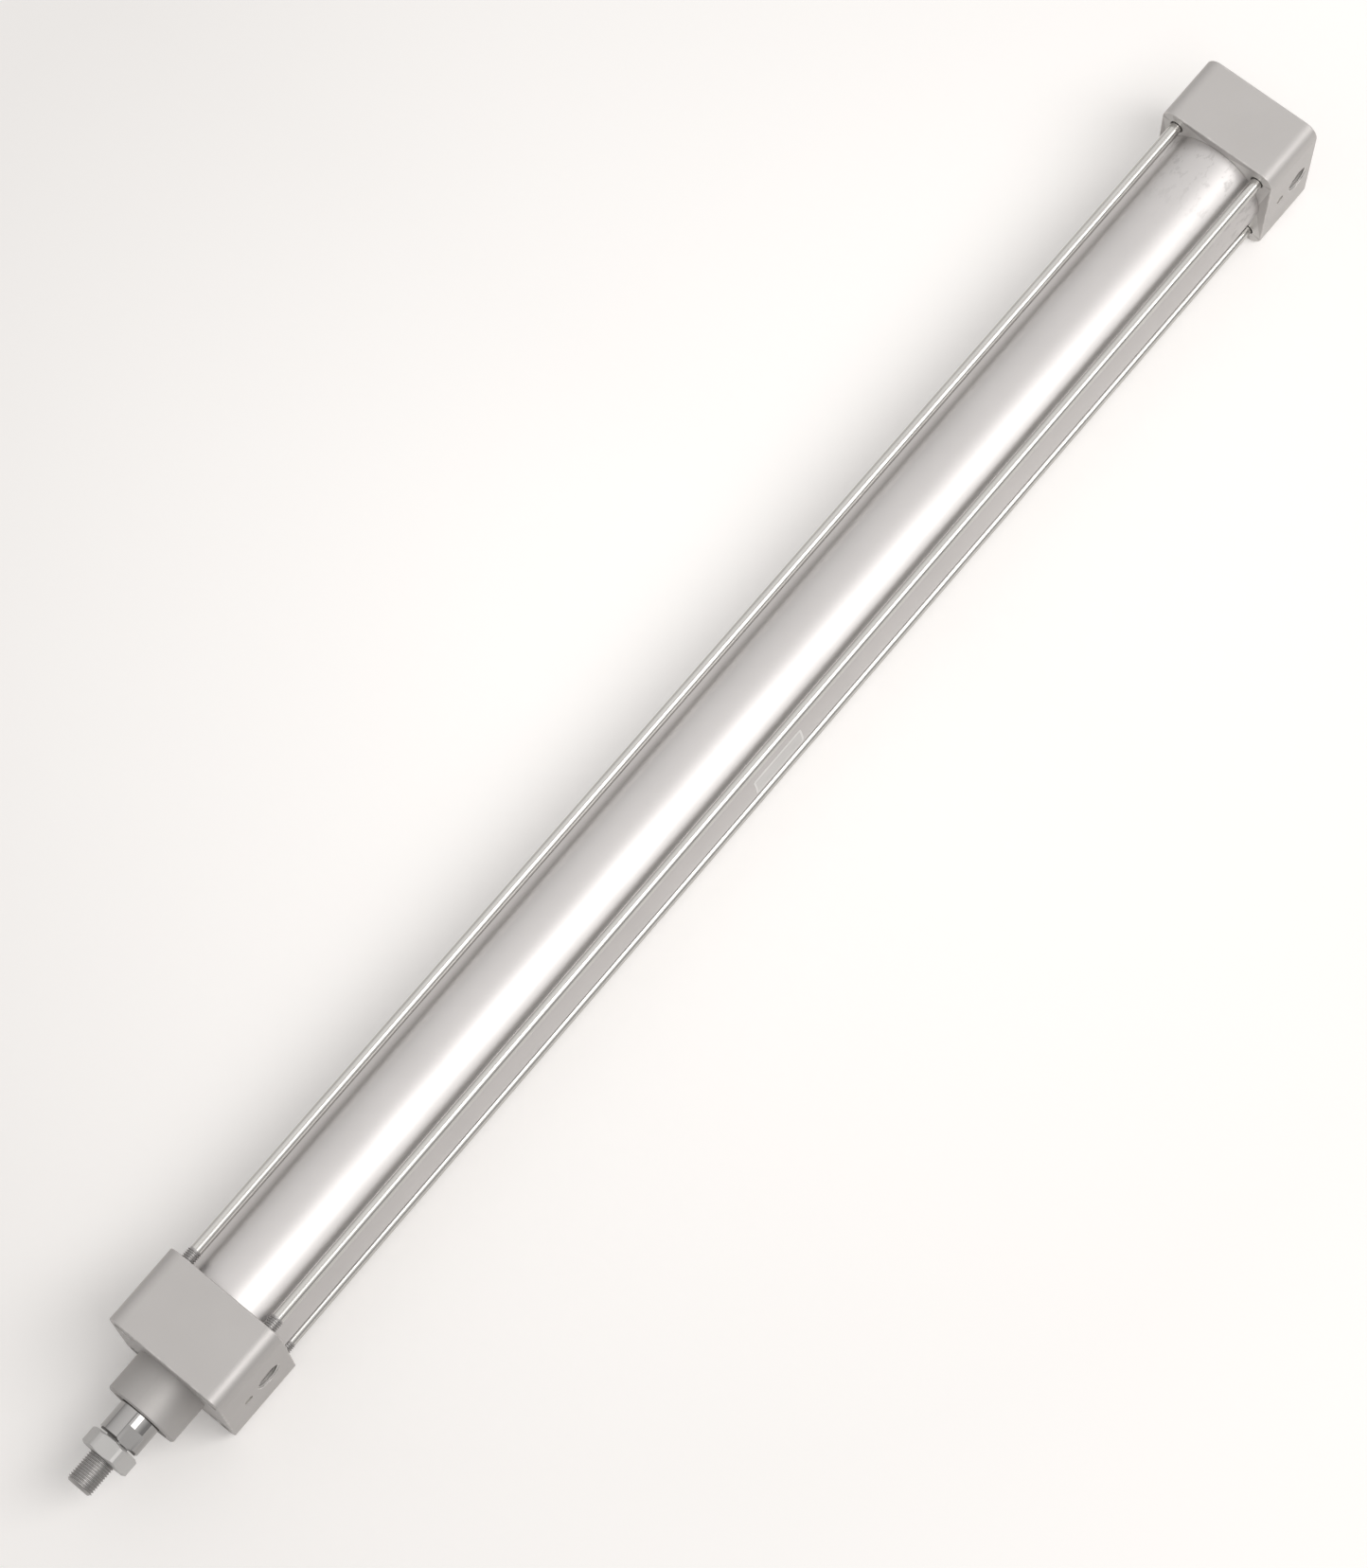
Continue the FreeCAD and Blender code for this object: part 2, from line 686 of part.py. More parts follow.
def main():
    """Build every sub-part and write it to its own file."""
    save("rod_cover", rod_cover())
    save("head_cover", head_cover())
    save("cylinder_tube", cylinder_tube())
    for number, corner in enumerate(CORNERS, start=1):
        save("tie_rod_%d" % number, tie_rod(corner))
        save("front_tie_rod_nut_%d" % number, tie_rod_nut(front, corner))
        save("rear_tie_rod_nut_%d" % number, tie_rod_nut(rear, corner))
    for end, place in (("front", front), ("rear", rear)):
        save(end + "_tube_ring", tube_ring(place))
        save(end + "_cushion_seal", cushion_seal(place))
        save(end + "_cushion_needle", needle(place))
        save(end + "_needle_ring", needle_ring(place))
    save("rod_bushing", rod_bushing())
    save("rod_seal", rod_seal())
    save("seal_washer", seal_washer())
    save("rod_wiper", rod_wiper())
    save("retaining_ring", retaining_ring())
    save("piston_rod", piston_rod())
    save("piston", piston())
    save("front_piston_seal", piston_seal(front_seal_from_rear, 1))
    save("rear_piston_seal", piston_seal(piston_land, -1))
    save("wear_ring", wear_ring())
    save("piston_static_ring", piston_static_ring())
    save("front_cushion_sleeve", cushion_sleeve(piston_front_x, 1))
    save("rear_cushion_sleeve", cushion_sleeve(piston_rear_x, -1))
    save("piston_nut", piston_nut())
    save("rod_end_nut", rod_end_nut())


main()
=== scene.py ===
"""Looks of a tie rod pneumatic cylinder: finer meshes, finishes, floor, lamp and camera."""

import json
import logging
import math
from dataclasses import dataclass, replace
from enum import Enum
from typing import Callable, Optional, Sequence

import bmesh
import bpy
from mathutils import Matrix, Vector
from mathutils.kdtree import KDTree


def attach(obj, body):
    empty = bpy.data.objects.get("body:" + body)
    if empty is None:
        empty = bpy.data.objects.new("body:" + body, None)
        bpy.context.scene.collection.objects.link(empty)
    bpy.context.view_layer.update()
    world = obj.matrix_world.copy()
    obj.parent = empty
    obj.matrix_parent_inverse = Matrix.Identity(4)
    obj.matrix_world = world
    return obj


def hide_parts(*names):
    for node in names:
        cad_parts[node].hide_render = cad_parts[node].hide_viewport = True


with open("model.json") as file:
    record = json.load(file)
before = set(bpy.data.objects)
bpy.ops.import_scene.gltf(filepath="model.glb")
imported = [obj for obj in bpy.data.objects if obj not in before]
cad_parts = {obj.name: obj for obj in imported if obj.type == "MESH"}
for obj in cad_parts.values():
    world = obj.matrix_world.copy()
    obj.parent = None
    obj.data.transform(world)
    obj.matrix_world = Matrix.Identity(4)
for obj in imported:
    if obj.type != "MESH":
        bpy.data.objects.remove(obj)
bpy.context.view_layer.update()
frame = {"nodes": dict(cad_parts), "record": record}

logging.basicConfig(level=logging.INFO, format="%(message)s")
log = logging.getLogger("cylinder")

Socket = bpy.types.NodeSocket
Face = bpy.types.MeshPolygon
Triple = tuple[float, float, float]
Line = list[tuple[float, float]]
# Start and end of a range, and what they become.
Ramp = tuple[float, float, float, float]

MM = 0.001
FULL_TURN = 2 * math.pi
LIGHT_COLOUR: Triple = (1.0, 0.985, 0.972)

# Millimetres: half the side of the square covers, the tie rods' distance from the middle planes,
# the tube's radius, and how close two corners of a mesh are to be taken as one.
HALF_SIDE = 38.499
TIE_ROD_PLACE = 28.249
TUBE_RADIUS = 33.0
WELD = 0.0005


class Body(Enum):
    """The bodies that pieces ride on."""

    BARREL = "barrel"
    ROD = "rod"


class Slot(Enum):
    """Material slots of the record."""

    COVER = "painted_cover"
    TUBE = "anodised_tube"
    BRIGHT = "bright_steel"
    ZINC = "zinc_steel"
    CHROME = "chromed_rod"
    MACHINED = "machined_aluminium"
    BRASS = "brass"
    BRONZE = "bushing_bronze"
    RUBBER = "seal_rubber"
    PLASTIC = "guide_plastic"


class Direction(Enum):
    """How a surface texture is stretched, as factors on the three coordinates."""

    EVEN = (1.0, 1.0, 1.0)
    DRAWN_ALONG = (0.015, 1.0, 1.0)
    TURNED_ROUND = (1.0, 0.02, 0.02)


class NodeDesk:
    """A node tree with short ways to place and join its nodes."""

    def __init__(self, tree: bpy.types.NodeTree) -> None:
        """Keep the tree that nodes go into."""
        self.tree = tree

    def fill(self, node: bpy.types.Node, inputs: Sequence | dict[str, object]) -> None:
        """Give a node's inputs links or plain values, in their order or by their names.

        Args:
            node: The node.
            inputs: Sockets or plain values, in the order of the inputs or by their names.
        """
        pairs = inputs.items() if isinstance(inputs, dict) else enumerate(inputs)
        for key, value in pairs:
            if isinstance(value, Socket):
                self.tree.links.new(value, node.inputs[key])
            else:
                node.inputs[key].default_value = value

    def add(
        self, kind: str, inputs: Sequence | dict[str, object] = (), **settings: object,
    ) -> bpy.types.NodeOutputs:
        """Place a node, set its properties and give its inputs.

        Args:
            kind: Blender's name of the node type.
            inputs: Sockets or plain values, in the order of the inputs or by their names.
            settings: Properties of the node and their values.

        Returns:
            The node's outputs.
        """
        node = self.tree.nodes.new(kind)
        for name, value in settings.items():
            setattr(node, name, value)
        self.fill(node, inputs)
        return node.outputs

    def math(self, operation: str, *values: object) -> Socket:
        """Place a math node."""
        return self.add("ShaderNodeMath", values, operation=operation)["Value"]

    def vector_math(self, operation: str, *values: object) -> Socket:
        """Place a vector math node."""
        return self.add("ShaderNodeVectorMath", values, operation=operation)["Vector"]

    def spread(
        self, value: object, low: object, high: object, to_low: object, to_high: object,
    ) -> Socket:
        """Map a range of values to another one, clamped."""
        given = (value, low, high, to_low, to_high)
        return self.add("ShaderNodeMapRange", given, clamp=True)["Result"]

    def place_on_object(self) -> Socket:
        """Coordinates of the surface in the object's own frame, which is the cylinder's."""
        return self.add("ShaderNodeTexCoord")["Object"]

    def parts(self, vector: Socket) -> list[Socket]:
        """Split a vector into its X, Y and Z."""
        return list(self.add("ShaderNodeSeparateXYZ", [vector]))

    def length(self, vector: Socket) -> Socket:
        """Length of a vector."""
        return self.add("ShaderNodeVectorMath", [vector], operation="LENGTH")["Value"]

    def noise(self, vector: Socket, **values: object) -> Socket:
        """Place a noise texture."""
        return self.add("ShaderNodeTexNoise", {"Vector": vector, **values})["Fac"]

    def blend(self, share: object, first: object, second: object) -> Socket:
        """Mix two colours."""
        given = {"Factor": share, "A": first, "B": second}
        return self.add("ShaderNodeMix", given, data_type="RGBA")["Result"]


class Effect:
    """Surface effect that several finishes share, built once as a node group with named sockets."""

    name: str
    inputs: dict[str, float | Triple]
    output: str = "Mask"

    def __init__(self) -> None:
        """Start with the group not built."""
        self.tree: Optional[bpy.types.NodeTree] = None

    def result(self, desk: NodeDesk, given: bpy.types.NodeOutputs) -> Socket:
        """Make what the group puts out."""
        raise NotImplementedError

    def build(self) -> bpy.types.NodeTree:
        """Make the group.

        Returns:
            Its tree.
        """
        tree = bpy.data.node_groups.new(self.name, "ShaderNodeTree")
        for label, default in self.inputs.items():
            kind = "NodeSocketVector" if isinstance(default, tuple) else "NodeSocketFloat"
            socket = tree.interface.new_socket(name=label, in_out="INPUT", socket_type=kind)
            socket.default_value = default
        tree.interface.new_socket(name=self.output, in_out="OUTPUT", socket_type="NodeSocketFloat")
        desk = NodeDesk(tree)
        value = self.result(desk, desk.add("NodeGroupInput"))
        desk.add("NodeGroupOutput", {self.output: value})
        return tree

    def place(self, desk: NodeDesk, **values: object) -> Socket:
        """Place the group in a material with its own values.

        Args:
            desk: Desk of the material.
            values: Values of its inputs, by their names.

        Returns:
            The socket with the effect.
        """
        if self.tree is None:
            self.tree = self.build()
        return desk.add("ShaderNodeGroup", values, node_tree=self.tree)[self.output]


class Grain(Effect):
    """Fine grain or mottle, stretched along the maker's direction of work."""

    name = "grain"
    inputs = {"Scale": 500.0, "Stretch": (1.0, 1.0, 1.0), "Detail": 3.0, "Low": 0.3, "High": 0.7}
    output = "Value"

    def result(self, desk: NodeDesk, given: bpy.types.NodeOutputs) -> Socket:
        """Spread the middle of a noise over the whole range.

        Args:
            desk: Desk of the group's tree.
            given: The group's inputs, by their names.

        Returns:
            The socket with the grain.
        """
        stretched = desk.vector_math("MULTIPLY", desk.place_on_object(), given["Stretch"])
        noise = desk.noise(stretched, Scale=given["Scale"], Detail=given["Detail"])
        return desk.spread(noise, given["Low"], given["High"], 0.0, 1.0)


class Marks(Effect):
    """Sparse handling marks: smudges broken up by finer noise."""

    name = "marks"
    inputs = {
        "Scale": 30.0, "Stretch": (1.0, 1.0, 1.0), "Threshold": 0.62, "Softness": 0.08,
        "Detail": 5.0, "Roughness": 0.65,
    }

    def result(self, desk: NodeDesk, given: bpy.types.NodeOutputs) -> Socket:
        """Keep only the peaks of a noise.

        Args:
            desk: Desk of the group's tree.
            given: The group's inputs, by their names.

        Returns:
            The socket with the mask.
        """
        stretched = desk.vector_math("MULTIPLY", desk.place_on_object(), given["Stretch"])
        names = ("Scale", "Detail", "Roughness")
        noise = desk.noise(stretched, **{name: given[name] for name in names})
        top = desk.math("ADD", given["Threshold"], given["Softness"])
        return desk.spread(noise, given["Threshold"], top, 0.0, 1.0)


class EdgeWearAndHighlight(Effect):
    """Rubbed edges of a block with rounded corners, broken up by noise: worn paint and a painted
    highlight on the edges.
    """

    name = "edge_wear_and_highlight"
    inputs = {
        "Middle": (0.0, 0.0, 0.0), "Half": (1.0, 1.0, 1.0), "Corner": 0.009, "Width": 0.0008,
        "Scale": 220.0, "Detail": 4.0, "Raggedness": 3.0,
    }

    def result(self, desk: NodeDesk, given: bpy.types.NodeOutputs) -> Socket:
        """Fade the wear and the painted highlight out with the distance from the block's ends and
        rounded corners.

        Args:
            desk: Desk of the group's tree.
            given: The group's inputs, by their names.

        Returns:
            The socket with the mask.
        """
        place = desk.place_on_object()
        apart = desk.vector_math("ABSOLUTE", desk.vector_math("SUBTRACT", place, given["Middle"]))
        inside = desk.vector_math("SUBTRACT", given["Half"], apart)
        rounding = {"Y": given["Corner"], "Z": given["Corner"]}
        corner = desk.add("ShaderNodeCombineXYZ", rounding)["Vector"]
        beyond = desk.vector_math("SUBTRACT", corner, inside)
        beyond = desk.vector_math("MAXIMUM", beyond, (0.0, 0.0, 0.0))
        across = desk.vector_math("MULTIPLY", beyond, (0.0, 1.0, 1.0))
        side = desk.math("SUBTRACT", given["Corner"], desk.length(across))
        distance = desk.math("MAXIMUM", desk.parts(inside)[0], side)
        noise = desk.noise(place, Scale=given["Scale"], Detail=given["Detail"])
        shift = desk.math("MULTIPLY", desk.math("SUBTRACT", noise, 0.5), given["Width"])
        ragged = desk.math("MULTIPLY_ADD", shift, given["Raggedness"], distance)
        return desk.spread(ragged, 0.0, given["Width"], 1.0, 0.0)


GRAIN, MARKS, EDGE_WEAR_AND_HIGHLIGHT = Grain(), Marks(), EdgeWearAndHighlight()


def new_material(name: str) -> tuple[bpy.types.Material, NodeDesk, bpy.types.Node]:
    """Start a material.

    Args:
        name: Name of the material.

    Returns:
        The material, a desk for its tree and its shader.
    """
    material = bpy.data.materials.new(name)
    material.use_nodes = True
    tree = material.node_tree
    return material, NodeDesk(tree), tree.nodes["Principled BSDF"]


@dataclass(frozen=True)
class BlockEdgeWearAndHighlight:
    """Rubbed edges of a block, in millimetres, brighter and smoother than the rest: worn paint, and
    a painted highlight that makes the edges lighter.
    """

    middle: Triple
    half: Triple
    corner: float = 9.0
    width: float = 1.0
    tint: float = 1.18
    roughening: float = -0.08

    def mask(self, desk: NodeDesk) -> Socket:
        """Mask of the rubbed edges, worn and with a painted highlight.

        Args:
            desk: Desk of the material.

        Returns:
            The socket with the mask.
        """
        middle, half = ([size * MM for size in sizes] for sizes in (self.middle, self.half))
        return EDGE_WEAR_AND_HIGHLIGHT.place(
            desk, Middle=middle, Half=half, Corner=self.corner * MM, Width=self.width * MM,
        )


@dataclass(frozen=True)
class Smudges:
    """Dull marks on a stretch along the axis, in millimetres, strongest at its far end."""

    start_x: float
    end_x: float
    scale: float
    stretch: Triple
    threshold: float
    strength: float
    softness: float = 0.07
    tint: float = 0.55
    roughening: float = 0.25

    def mask(self, desk: NodeDesk) -> Socket:
        """Mask of the marks.

        Args:
            desk: Desk of the material.

        Returns:
            The socket with the mask.
        """
        marks = MARKS.place(
            desk, Scale=self.scale, Stretch=self.stretch, Threshold=self.threshold,
            Softness=self.softness,
        )
        along = desk.parts(desk.place_on_object())[0]
        reach = desk.spread(along, self.start_x * MM, self.end_x * MM, 0.0, 1.0)
        return desk.math("MULTIPLY", desk.math("MULTIPLY", marks, reach), self.strength)


@dataclass(frozen=True)
class Finish:
    """A surface finish: colour, gloss, the texture that the work leaves, and what use changed, with
    a painted highlight on rubbed edges.
    """

    name: str
    slot: Slot
    colour: Triple
    shade: Triple
    metallic: float
    roughness: tuple[float, float]
    grain_scale: float
    direction: Direction
    bump: float
    bump_height: float
    specular: float = 0.5
    mottle_scale: float = 40.0
    mottle_share: float = 0.6
    brightest: float = 0.95
    changes: tuple[BlockEdgeWearAndHighlight | Smudges, ...] = ()

    def material(self) -> bpy.types.Material:
        """Build the finish as a material.

        Returns:
            The material, ready to be put on a mesh.
        """
        material, desk, shader = new_material(self.name)
        mottle = GRAIN.place(desk, Scale=self.mottle_scale, Detail=4.0)
        fine = GRAIN.place(desk, Scale=self.grain_scale, Stretch=self.direction.value, Detail=2.0)
        colour = desk.blend(mottle, (*self.colour, 1.0), (*self.shade, 1.0))
        rest = desk.math("MULTIPLY", fine, 1.0 - self.mottle_share)
        both = desk.math("MULTIPLY_ADD", mottle, self.mottle_share, rest)
        roughness = desk.spread(both, 0.0, 1.0, *self.roughness)
        for change in self.changes:
            mask = change.mask(desk)
            # Each change tints the colour: smudges darker as dirt, rubbed edges lighter as wear and
            # a painted highlight.
            tinted = [min(self.brightest, channel * change.tint) for channel in self.colour]
            colour = desk.blend(mask, colour, (*tinted, 1.0))
            roughness = desk.math("MULTIPLY_ADD", mask, change.roughening, roughness)
        bump = {"Strength": self.bump, "Distance": self.bump_height * MM, "Height": fine}
        desk.fill(shader, {
            "Metallic": self.metallic, "Specular IOR Level": self.specular, "Base Color": colour,
            "Roughness": roughness, "Normal": desk.add("ShaderNodeBump", bump)["Normal"],
        })
        return material


FRONT_PAINT = Finish(
    "front_cover_paint", Slot.COVER, (0.485, 0.468, 0.457), (0.467, 0.450, 0.439), 0.55,
    (0.44, 0.52), 900.0, Direction.EVEN, 0.18, 0.012, mottle_scale=25.0,
    # Lighter rubbed edges: worn paint and a painted highlight.
    changes=(BlockEdgeWearAndHighlight((-24.25, 0.0, 0.0), (24.25, HALF_SIDE, HALF_SIDE)),),
)
# The rear cover wears the same paint as the front one. This copy is painted lighter, standing in
# for more light falling on the rear end.
LIGHTER_LIT_REAR_PAINT = replace(
    FRONT_PAINT, name="rear_cover_paint_painted_lighter", colour=(0.522, 0.504, 0.492),
    shade=(0.503, 0.485, 0.473),
    # Lighter rubbed edges: worn paint and a painted highlight.
    changes=(BlockEdgeWearAndHighlight((-915.0, 0.0, 0.0), (21.5, HALF_SIDE, HALF_SIDE)),),
)
# The boss: duller than the cover's paint, and its darker colour is partly painted shade, standing
# in for the light falling off toward the nose.
BOSS_PAINT_DULL_AND_SHADED = replace(
    FRONT_PAINT, name="boss_paint_dull_painted_shade", colour=(0.445, 0.430, 0.419), shade=(0.429, 0.414, 0.403),
    metallic=0.40, roughness=(0.50, 0.58), changes=(),
)
ANODISED = Finish(
    "anodised_tube", Slot.TUBE, (0.581, 0.564, 0.558), (0.561, 0.545, 0.539), 1.0, (0.43, 0.49),
    1500.0, Direction.DRAWN_ALONG, 0.08, 0.004, mottle_scale=18.0,
    changes=(Smudges(-835.0, -885.0, 120.0, (1.0, 1.8, 1.8), 0.54, 0.30),),
)
LABEL_FOIL = Finish(
    "label_foil", Slot.TUBE, (0.650, 0.640, 0.630), (0.620, 0.610, 0.600), 0.4, (0.42, 0.50),
    1200.0, Direction.EVEN, 0.10, 0.006, mottle_scale=60.0,
)
LABEL_MARGIN = replace(
    LABEL_FOIL, name="label_margin", colour=(0.78, 0.77, 0.76), shade=(0.74, 0.73, 0.72),
)
BRIGHT_STEEL = Finish(
    "bright_steel", Slot.BRIGHT, (0.56, 0.55, 0.53), (0.52, 0.51, 0.49), 1.0, (0.17, 0.24),
    2500.0, Direction.DRAWN_ALONG, 0.10, 0.003,
)
ZINC = Finish(
    "zinc_plated_steel", Slot.ZINC, (0.545, 0.537, 0.527), (0.510, 0.503, 0.493), 0.3, (0.40, 0.50),
    700.0, Direction.EVEN, 0.15, 0.01,
)
CHROME = Finish(
    "hard_chrome", Slot.CHROME, (0.360, 0.353, 0.348), (0.345, 0.338, 0.333), 1.0, (0.05, 0.09),
    3000.0, Direction.TURNED_ROUND, 0.04, 0.001,
)
BORED = Finish(
    "bored_aluminium", Slot.COVER, (0.68, 0.665, 0.65), (0.61, 0.595, 0.58), 0.5, (0.32, 0.44),
    1800.0, Direction.EVEN, 0.20, 0.006,
)
MACHINED = Finish(
    "turned_aluminium", Slot.MACHINED, (0.72, 0.71, 0.70), (0.66, 0.65, 0.64), 1.0, (0.22, 0.32),
    2200.0, Direction.TURNED_ROUND, 0.20, 0.006,
)
BRASS = Finish(
    "turned_brass", Slot.BRASS, (0.54, 0.47, 0.34), (0.48, 0.41, 0.29), 1.0, (0.26, 0.38),
    1800.0, Direction.EVEN, 0.15, 0.005,
)
BRONZE = Finish(
    "sintered_bronze", Slot.BRONZE, (0.46, 0.31, 0.16), (0.38, 0.25, 0.12), 0.8, (0.42, 0.58),
    2500.0, Direction.EVEN, 0.40, 0.015,
)
RUBBER = Finish(
    "black_rubber", Slot.RUBBER, (0.028, 0.027, 0.026), (0.040, 0.039, 0.038), 0.0, (0.55, 0.70),
    1600.0, Direction.EVEN, 0.30, 0.01, specular=0.35,
)
PLASTIC = Finish(
    "guide_plastic", Slot.PLASTIC, (0.10, 0.095, 0.09), (0.075, 0.07, 0.068), 0.0, (0.45, 0.6),
    1200.0, Direction.EVEN, 0.25, 0.01,
)
THREAD_STEEL = Finish(
    "dark_thread_steel", Slot.CHROME, (0.440, 0.430, 0.424), (0.390, 0.380, 0.374), 1.0,
    (0.42, 0.52), 1500.0, Direction.EVEN, 0.20, 0.006,
)


class FinishShelf:
    """Materials already made, one for each finish."""

    def __init__(self) -> None:
        """Start with an empty shelf."""
        self.made: dict[str, bpy.types.Material] = {}

    def take(self, finish: Finish) -> bpy.types.Material:
        """Give the material of a finish, made the first time it is asked for.

        Args:
            finish: The finish.

        Returns:
            Its material.
        """
        if finish.name not in self.made:
            self.made[finish.name] = finish.material()
        return self.made[finish.name]

    def dress(
        self,
        mesh: bpy.types.Mesh,
        finishes: Sequence[Finish],
        number_of: Optional[Callable[[Face], int]] = None,
    ) -> None:
        """Put finishes on a mesh.

        Args:
            mesh: The mesh.
            finishes: Its finishes, in the order of their numbers.
            number_of: Gives the number for a face. Without it the faces keep theirs.
        """
        for finish in finishes:
            mesh.materials.append(self.take(finish))
        if number_of is not None:
            for face in mesh.polygons:
                face.material_index = number_of(face)


SHELF = FinishShelf()


@dataclass(frozen=True)
class ThreadForm:
    """Sixty degree thread, in millimetres: pitch and depth, with flat crests and roots."""

    pitch: float
    depth: float
    crest: float = 0.125
    root: float = 0.25

    def corners(self) -> Line:
        """List the corners of one thread.

        Returns:
            Share of the pitch and depth below the crest of each.
        """
        flank = (1 - self.crest - self.root) / 2
        return [
            (0.0, 0.0), (self.crest, 0.0), (self.crest + flank / 2, self.depth / 2),
            (self.crest + flank, self.depth), (self.crest + flank + self.root, self.depth),
            (1 - flank / 2, self.depth / 2),
        ]

    def drop(self, phase: float) -> float:
        """Depth of the thread below its crest.

        Args:
            phase: Distance along the thread, in pitches.

        Returns:
            The depth in millimetres.
        """
        corners = self.corners() + [(1.0, 0.0)]
        share = phase % 1.0
        for (low, first), (high, second) in zip(corners, corners[1:]):
            if low <= share <= high:
                return first + (second - first) * (share - low) / (high - low)
        return 0.0

    def line(self, start: float, end: float, turn: float, crest_radius: float) -> Line:
        """Outline of the thread on one side of the bar.

        Args:
            start: Where the thread begins along the axis.
            end: Where it ends.
            turn: Side of the bar that is asked for, as a share of a full turn.
            crest_radius: Radius over the crests.

        Returns:
            Points of distance along the axis and radius, as many on every side.
        """
        first = (start, crest_radius - self.drop(-turn))
        last = (end, crest_radius - self.drop((end - start) / self.pitch - turn))
        points = [first]
        for index in range(-1, math.ceil((end - start) / self.pitch) + 1):
            for share, drop in self.corners():
                along = start + self.pitch * (index + turn + share)
                if along < start:
                    points.append(first)
                elif along > end:
                    points.append(last)
                else:
                    points.append((along, crest_radius - drop))
        points.append(last)
        return points


def even_angles(count: int) -> list[float]:
    """Angles that divide a full turn evenly, in radians, with both ends."""
    return [FULL_TURN * index / count for index in range(count + 1)]


def tie_rod_places() -> list[tuple[int, float, float]]:
    """List the tie rods.

    Returns:
        Number of each rod and where it is in Y and Z, in millimetres.
    """
    signs = ((-1, 1), (1, 1), (1, -1), (-1, -1))
    return [
        (number, side * TIE_ROD_PLACE, up * TIE_ROD_PLACE)
        for number, (side, up) in enumerate(signs, start=1)
    ]


def past(x: float) -> Callable[[Face], int]:
    """Number the faces of a mesh: 1 beyond a place along the axis, in millimetres, and else 0."""
    return lambda face: int(face.center.x > x * MM)


def put_in_scene(name: str, data: bpy.types.ID) -> bpy.types.Object:
    """Make an object and put it in the scene.

    Args:
        name: Name of the object.
        data: Its mesh, lamp or camera.

    Returns:
        The object.
    """
    item = bpy.data.objects.new(name, data)
    bpy.context.scene.collection.objects.link(item)
    return item


def smooth(mesh: bpy.types.Mesh, sharp_angle: float) -> None:
    """Shade a mesh smooth, except over edges sharper than an angle in degrees."""
    mesh.shade_smooth()
    mesh.set_sharp_from_angle(angle=math.radians(sharp_angle))


@dataclass
class TurnedMesh:
    """Mesh made by turning an outline about a line along X, in millimetres."""

    name: str
    outline: Callable[[float], Line]
    angles: Sequence[float]
    centre: tuple[float, float] = (0.0, 0.0)
    closed: bool = False
    sharp_angle: float = 22.0

    def build(self) -> bpy.types.Mesh:
        """Make the mesh.

        Returns:
            A mesh in metres, merged, with outward normals and sharp edges marked.
        """
        vertices: list[Triple] = []
        faces: list[tuple[int, ...]] = []
        count = 0
        for angle in self.angles:
            line = self.outline(angle)
            count = len(line)
            for along, radius in line:
                y = self.centre[0] + radius * math.cos(angle)
                z = self.centre[1] + radius * math.sin(angle)
                vertices.append((along * MM, y * MM, z * MM))
        steps = count if self.closed else count - 1
        for turn in range(len(self.angles) - 1):
            for step in range(steps):
                first = turn * count + step
                second = turn * count + (step + 1) % count
                faces.append((first, second, second + count, first + count))
        return finished_mesh(self.name, vertices, faces, self.sharp_angle)


def finished_mesh(
    name: str,
    vertices: Sequence[Triple],
    faces: Sequence[tuple[int, ...]],
    sharp_angle: float,
) -> bpy.types.Mesh:
    """Merge doubled points, turn the faces outward and mark sharp edges.

    Args:
        name: Name of the mesh.
        vertices: Points in metres.
        faces: Corner numbers of each face.
        sharp_angle: Angle in degrees above which an edge stays sharp.

    Returns:
        The mesh.
    """
    mesh = bpy.data.meshes.new(name)
    mesh.from_pydata(vertices, [], faces)
    work = bmesh.new()
    work.from_mesh(mesh)
    bmesh.ops.remove_doubles(work, verts=work.verts, dist=WELD * MM)
    bmesh.ops.dissolve_degenerate(work, edges=work.edges, dist=WELD * MM)
    bmesh.ops.recalc_face_normals(work, faces=work.faces)
    work.to_mesh(mesh)
    work.free()
    smooth(mesh, sharp_angle)
    return mesh


def add_piece(
    mesh: bpy.types.Mesh, finish: Finish, body: Body, stands_for: Sequence[str] = (),
) -> None:
    """Put a mesh in the scene as a piece of the cylinder.

    Args:
        mesh: The piece's mesh, in the frame's own place.
        finish: Its finish.
        body: The body that it rides on.
        stands_for: Nodes of the frame that it replaces.
    """
    piece = put_in_scene(mesh.name, mesh)
    if not mesh.materials:
        SHELF.dress(mesh, [finish])
    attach(piece, body.value)
    if stands_for:
        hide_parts(*stands_for)
    log.info("piece %s: %d faces, rides on %s", piece.name, len(mesh.polygons), body.value)


@dataclass
class Barrel:
    """Round tube of the barrel."""

    front_x: float = -48.5
    rear_x: float = -893.5
    bore_radius: float = 31.5
    radius: float = TUBE_RADIUS
    edge: float = 0.2
    segments: int = 256

    def outline(self, angle: float) -> Line:
        """Closed outline of the tube's wall, with broken edges.

        Args:
            angle: Side that is asked for, in radians.

        Returns:
            Points of distance along the axis and radius, in millimetres.
        """
        outer, inner, edge = self.radius, self.bore_radius, self.edge
        rear, front = self.rear_x, self.front_x
        return [
            (rear, inner + edge), (rear, outer - edge), (rear + edge, outer),
            (front - edge, outer), (front, outer - edge), (front, inner + edge),
            (front - edge, inner), (rear + edge, inner),
        ]

    def build(self) -> None:
        """Make the tube."""
        angles = even_angles(self.segments)
        mesh = TurnedMesh("barrel_tube", self.outline, angles, closed=True).build()
        add_piece(mesh, ANODISED, Body.BARREL, ["cylinder_tube"])


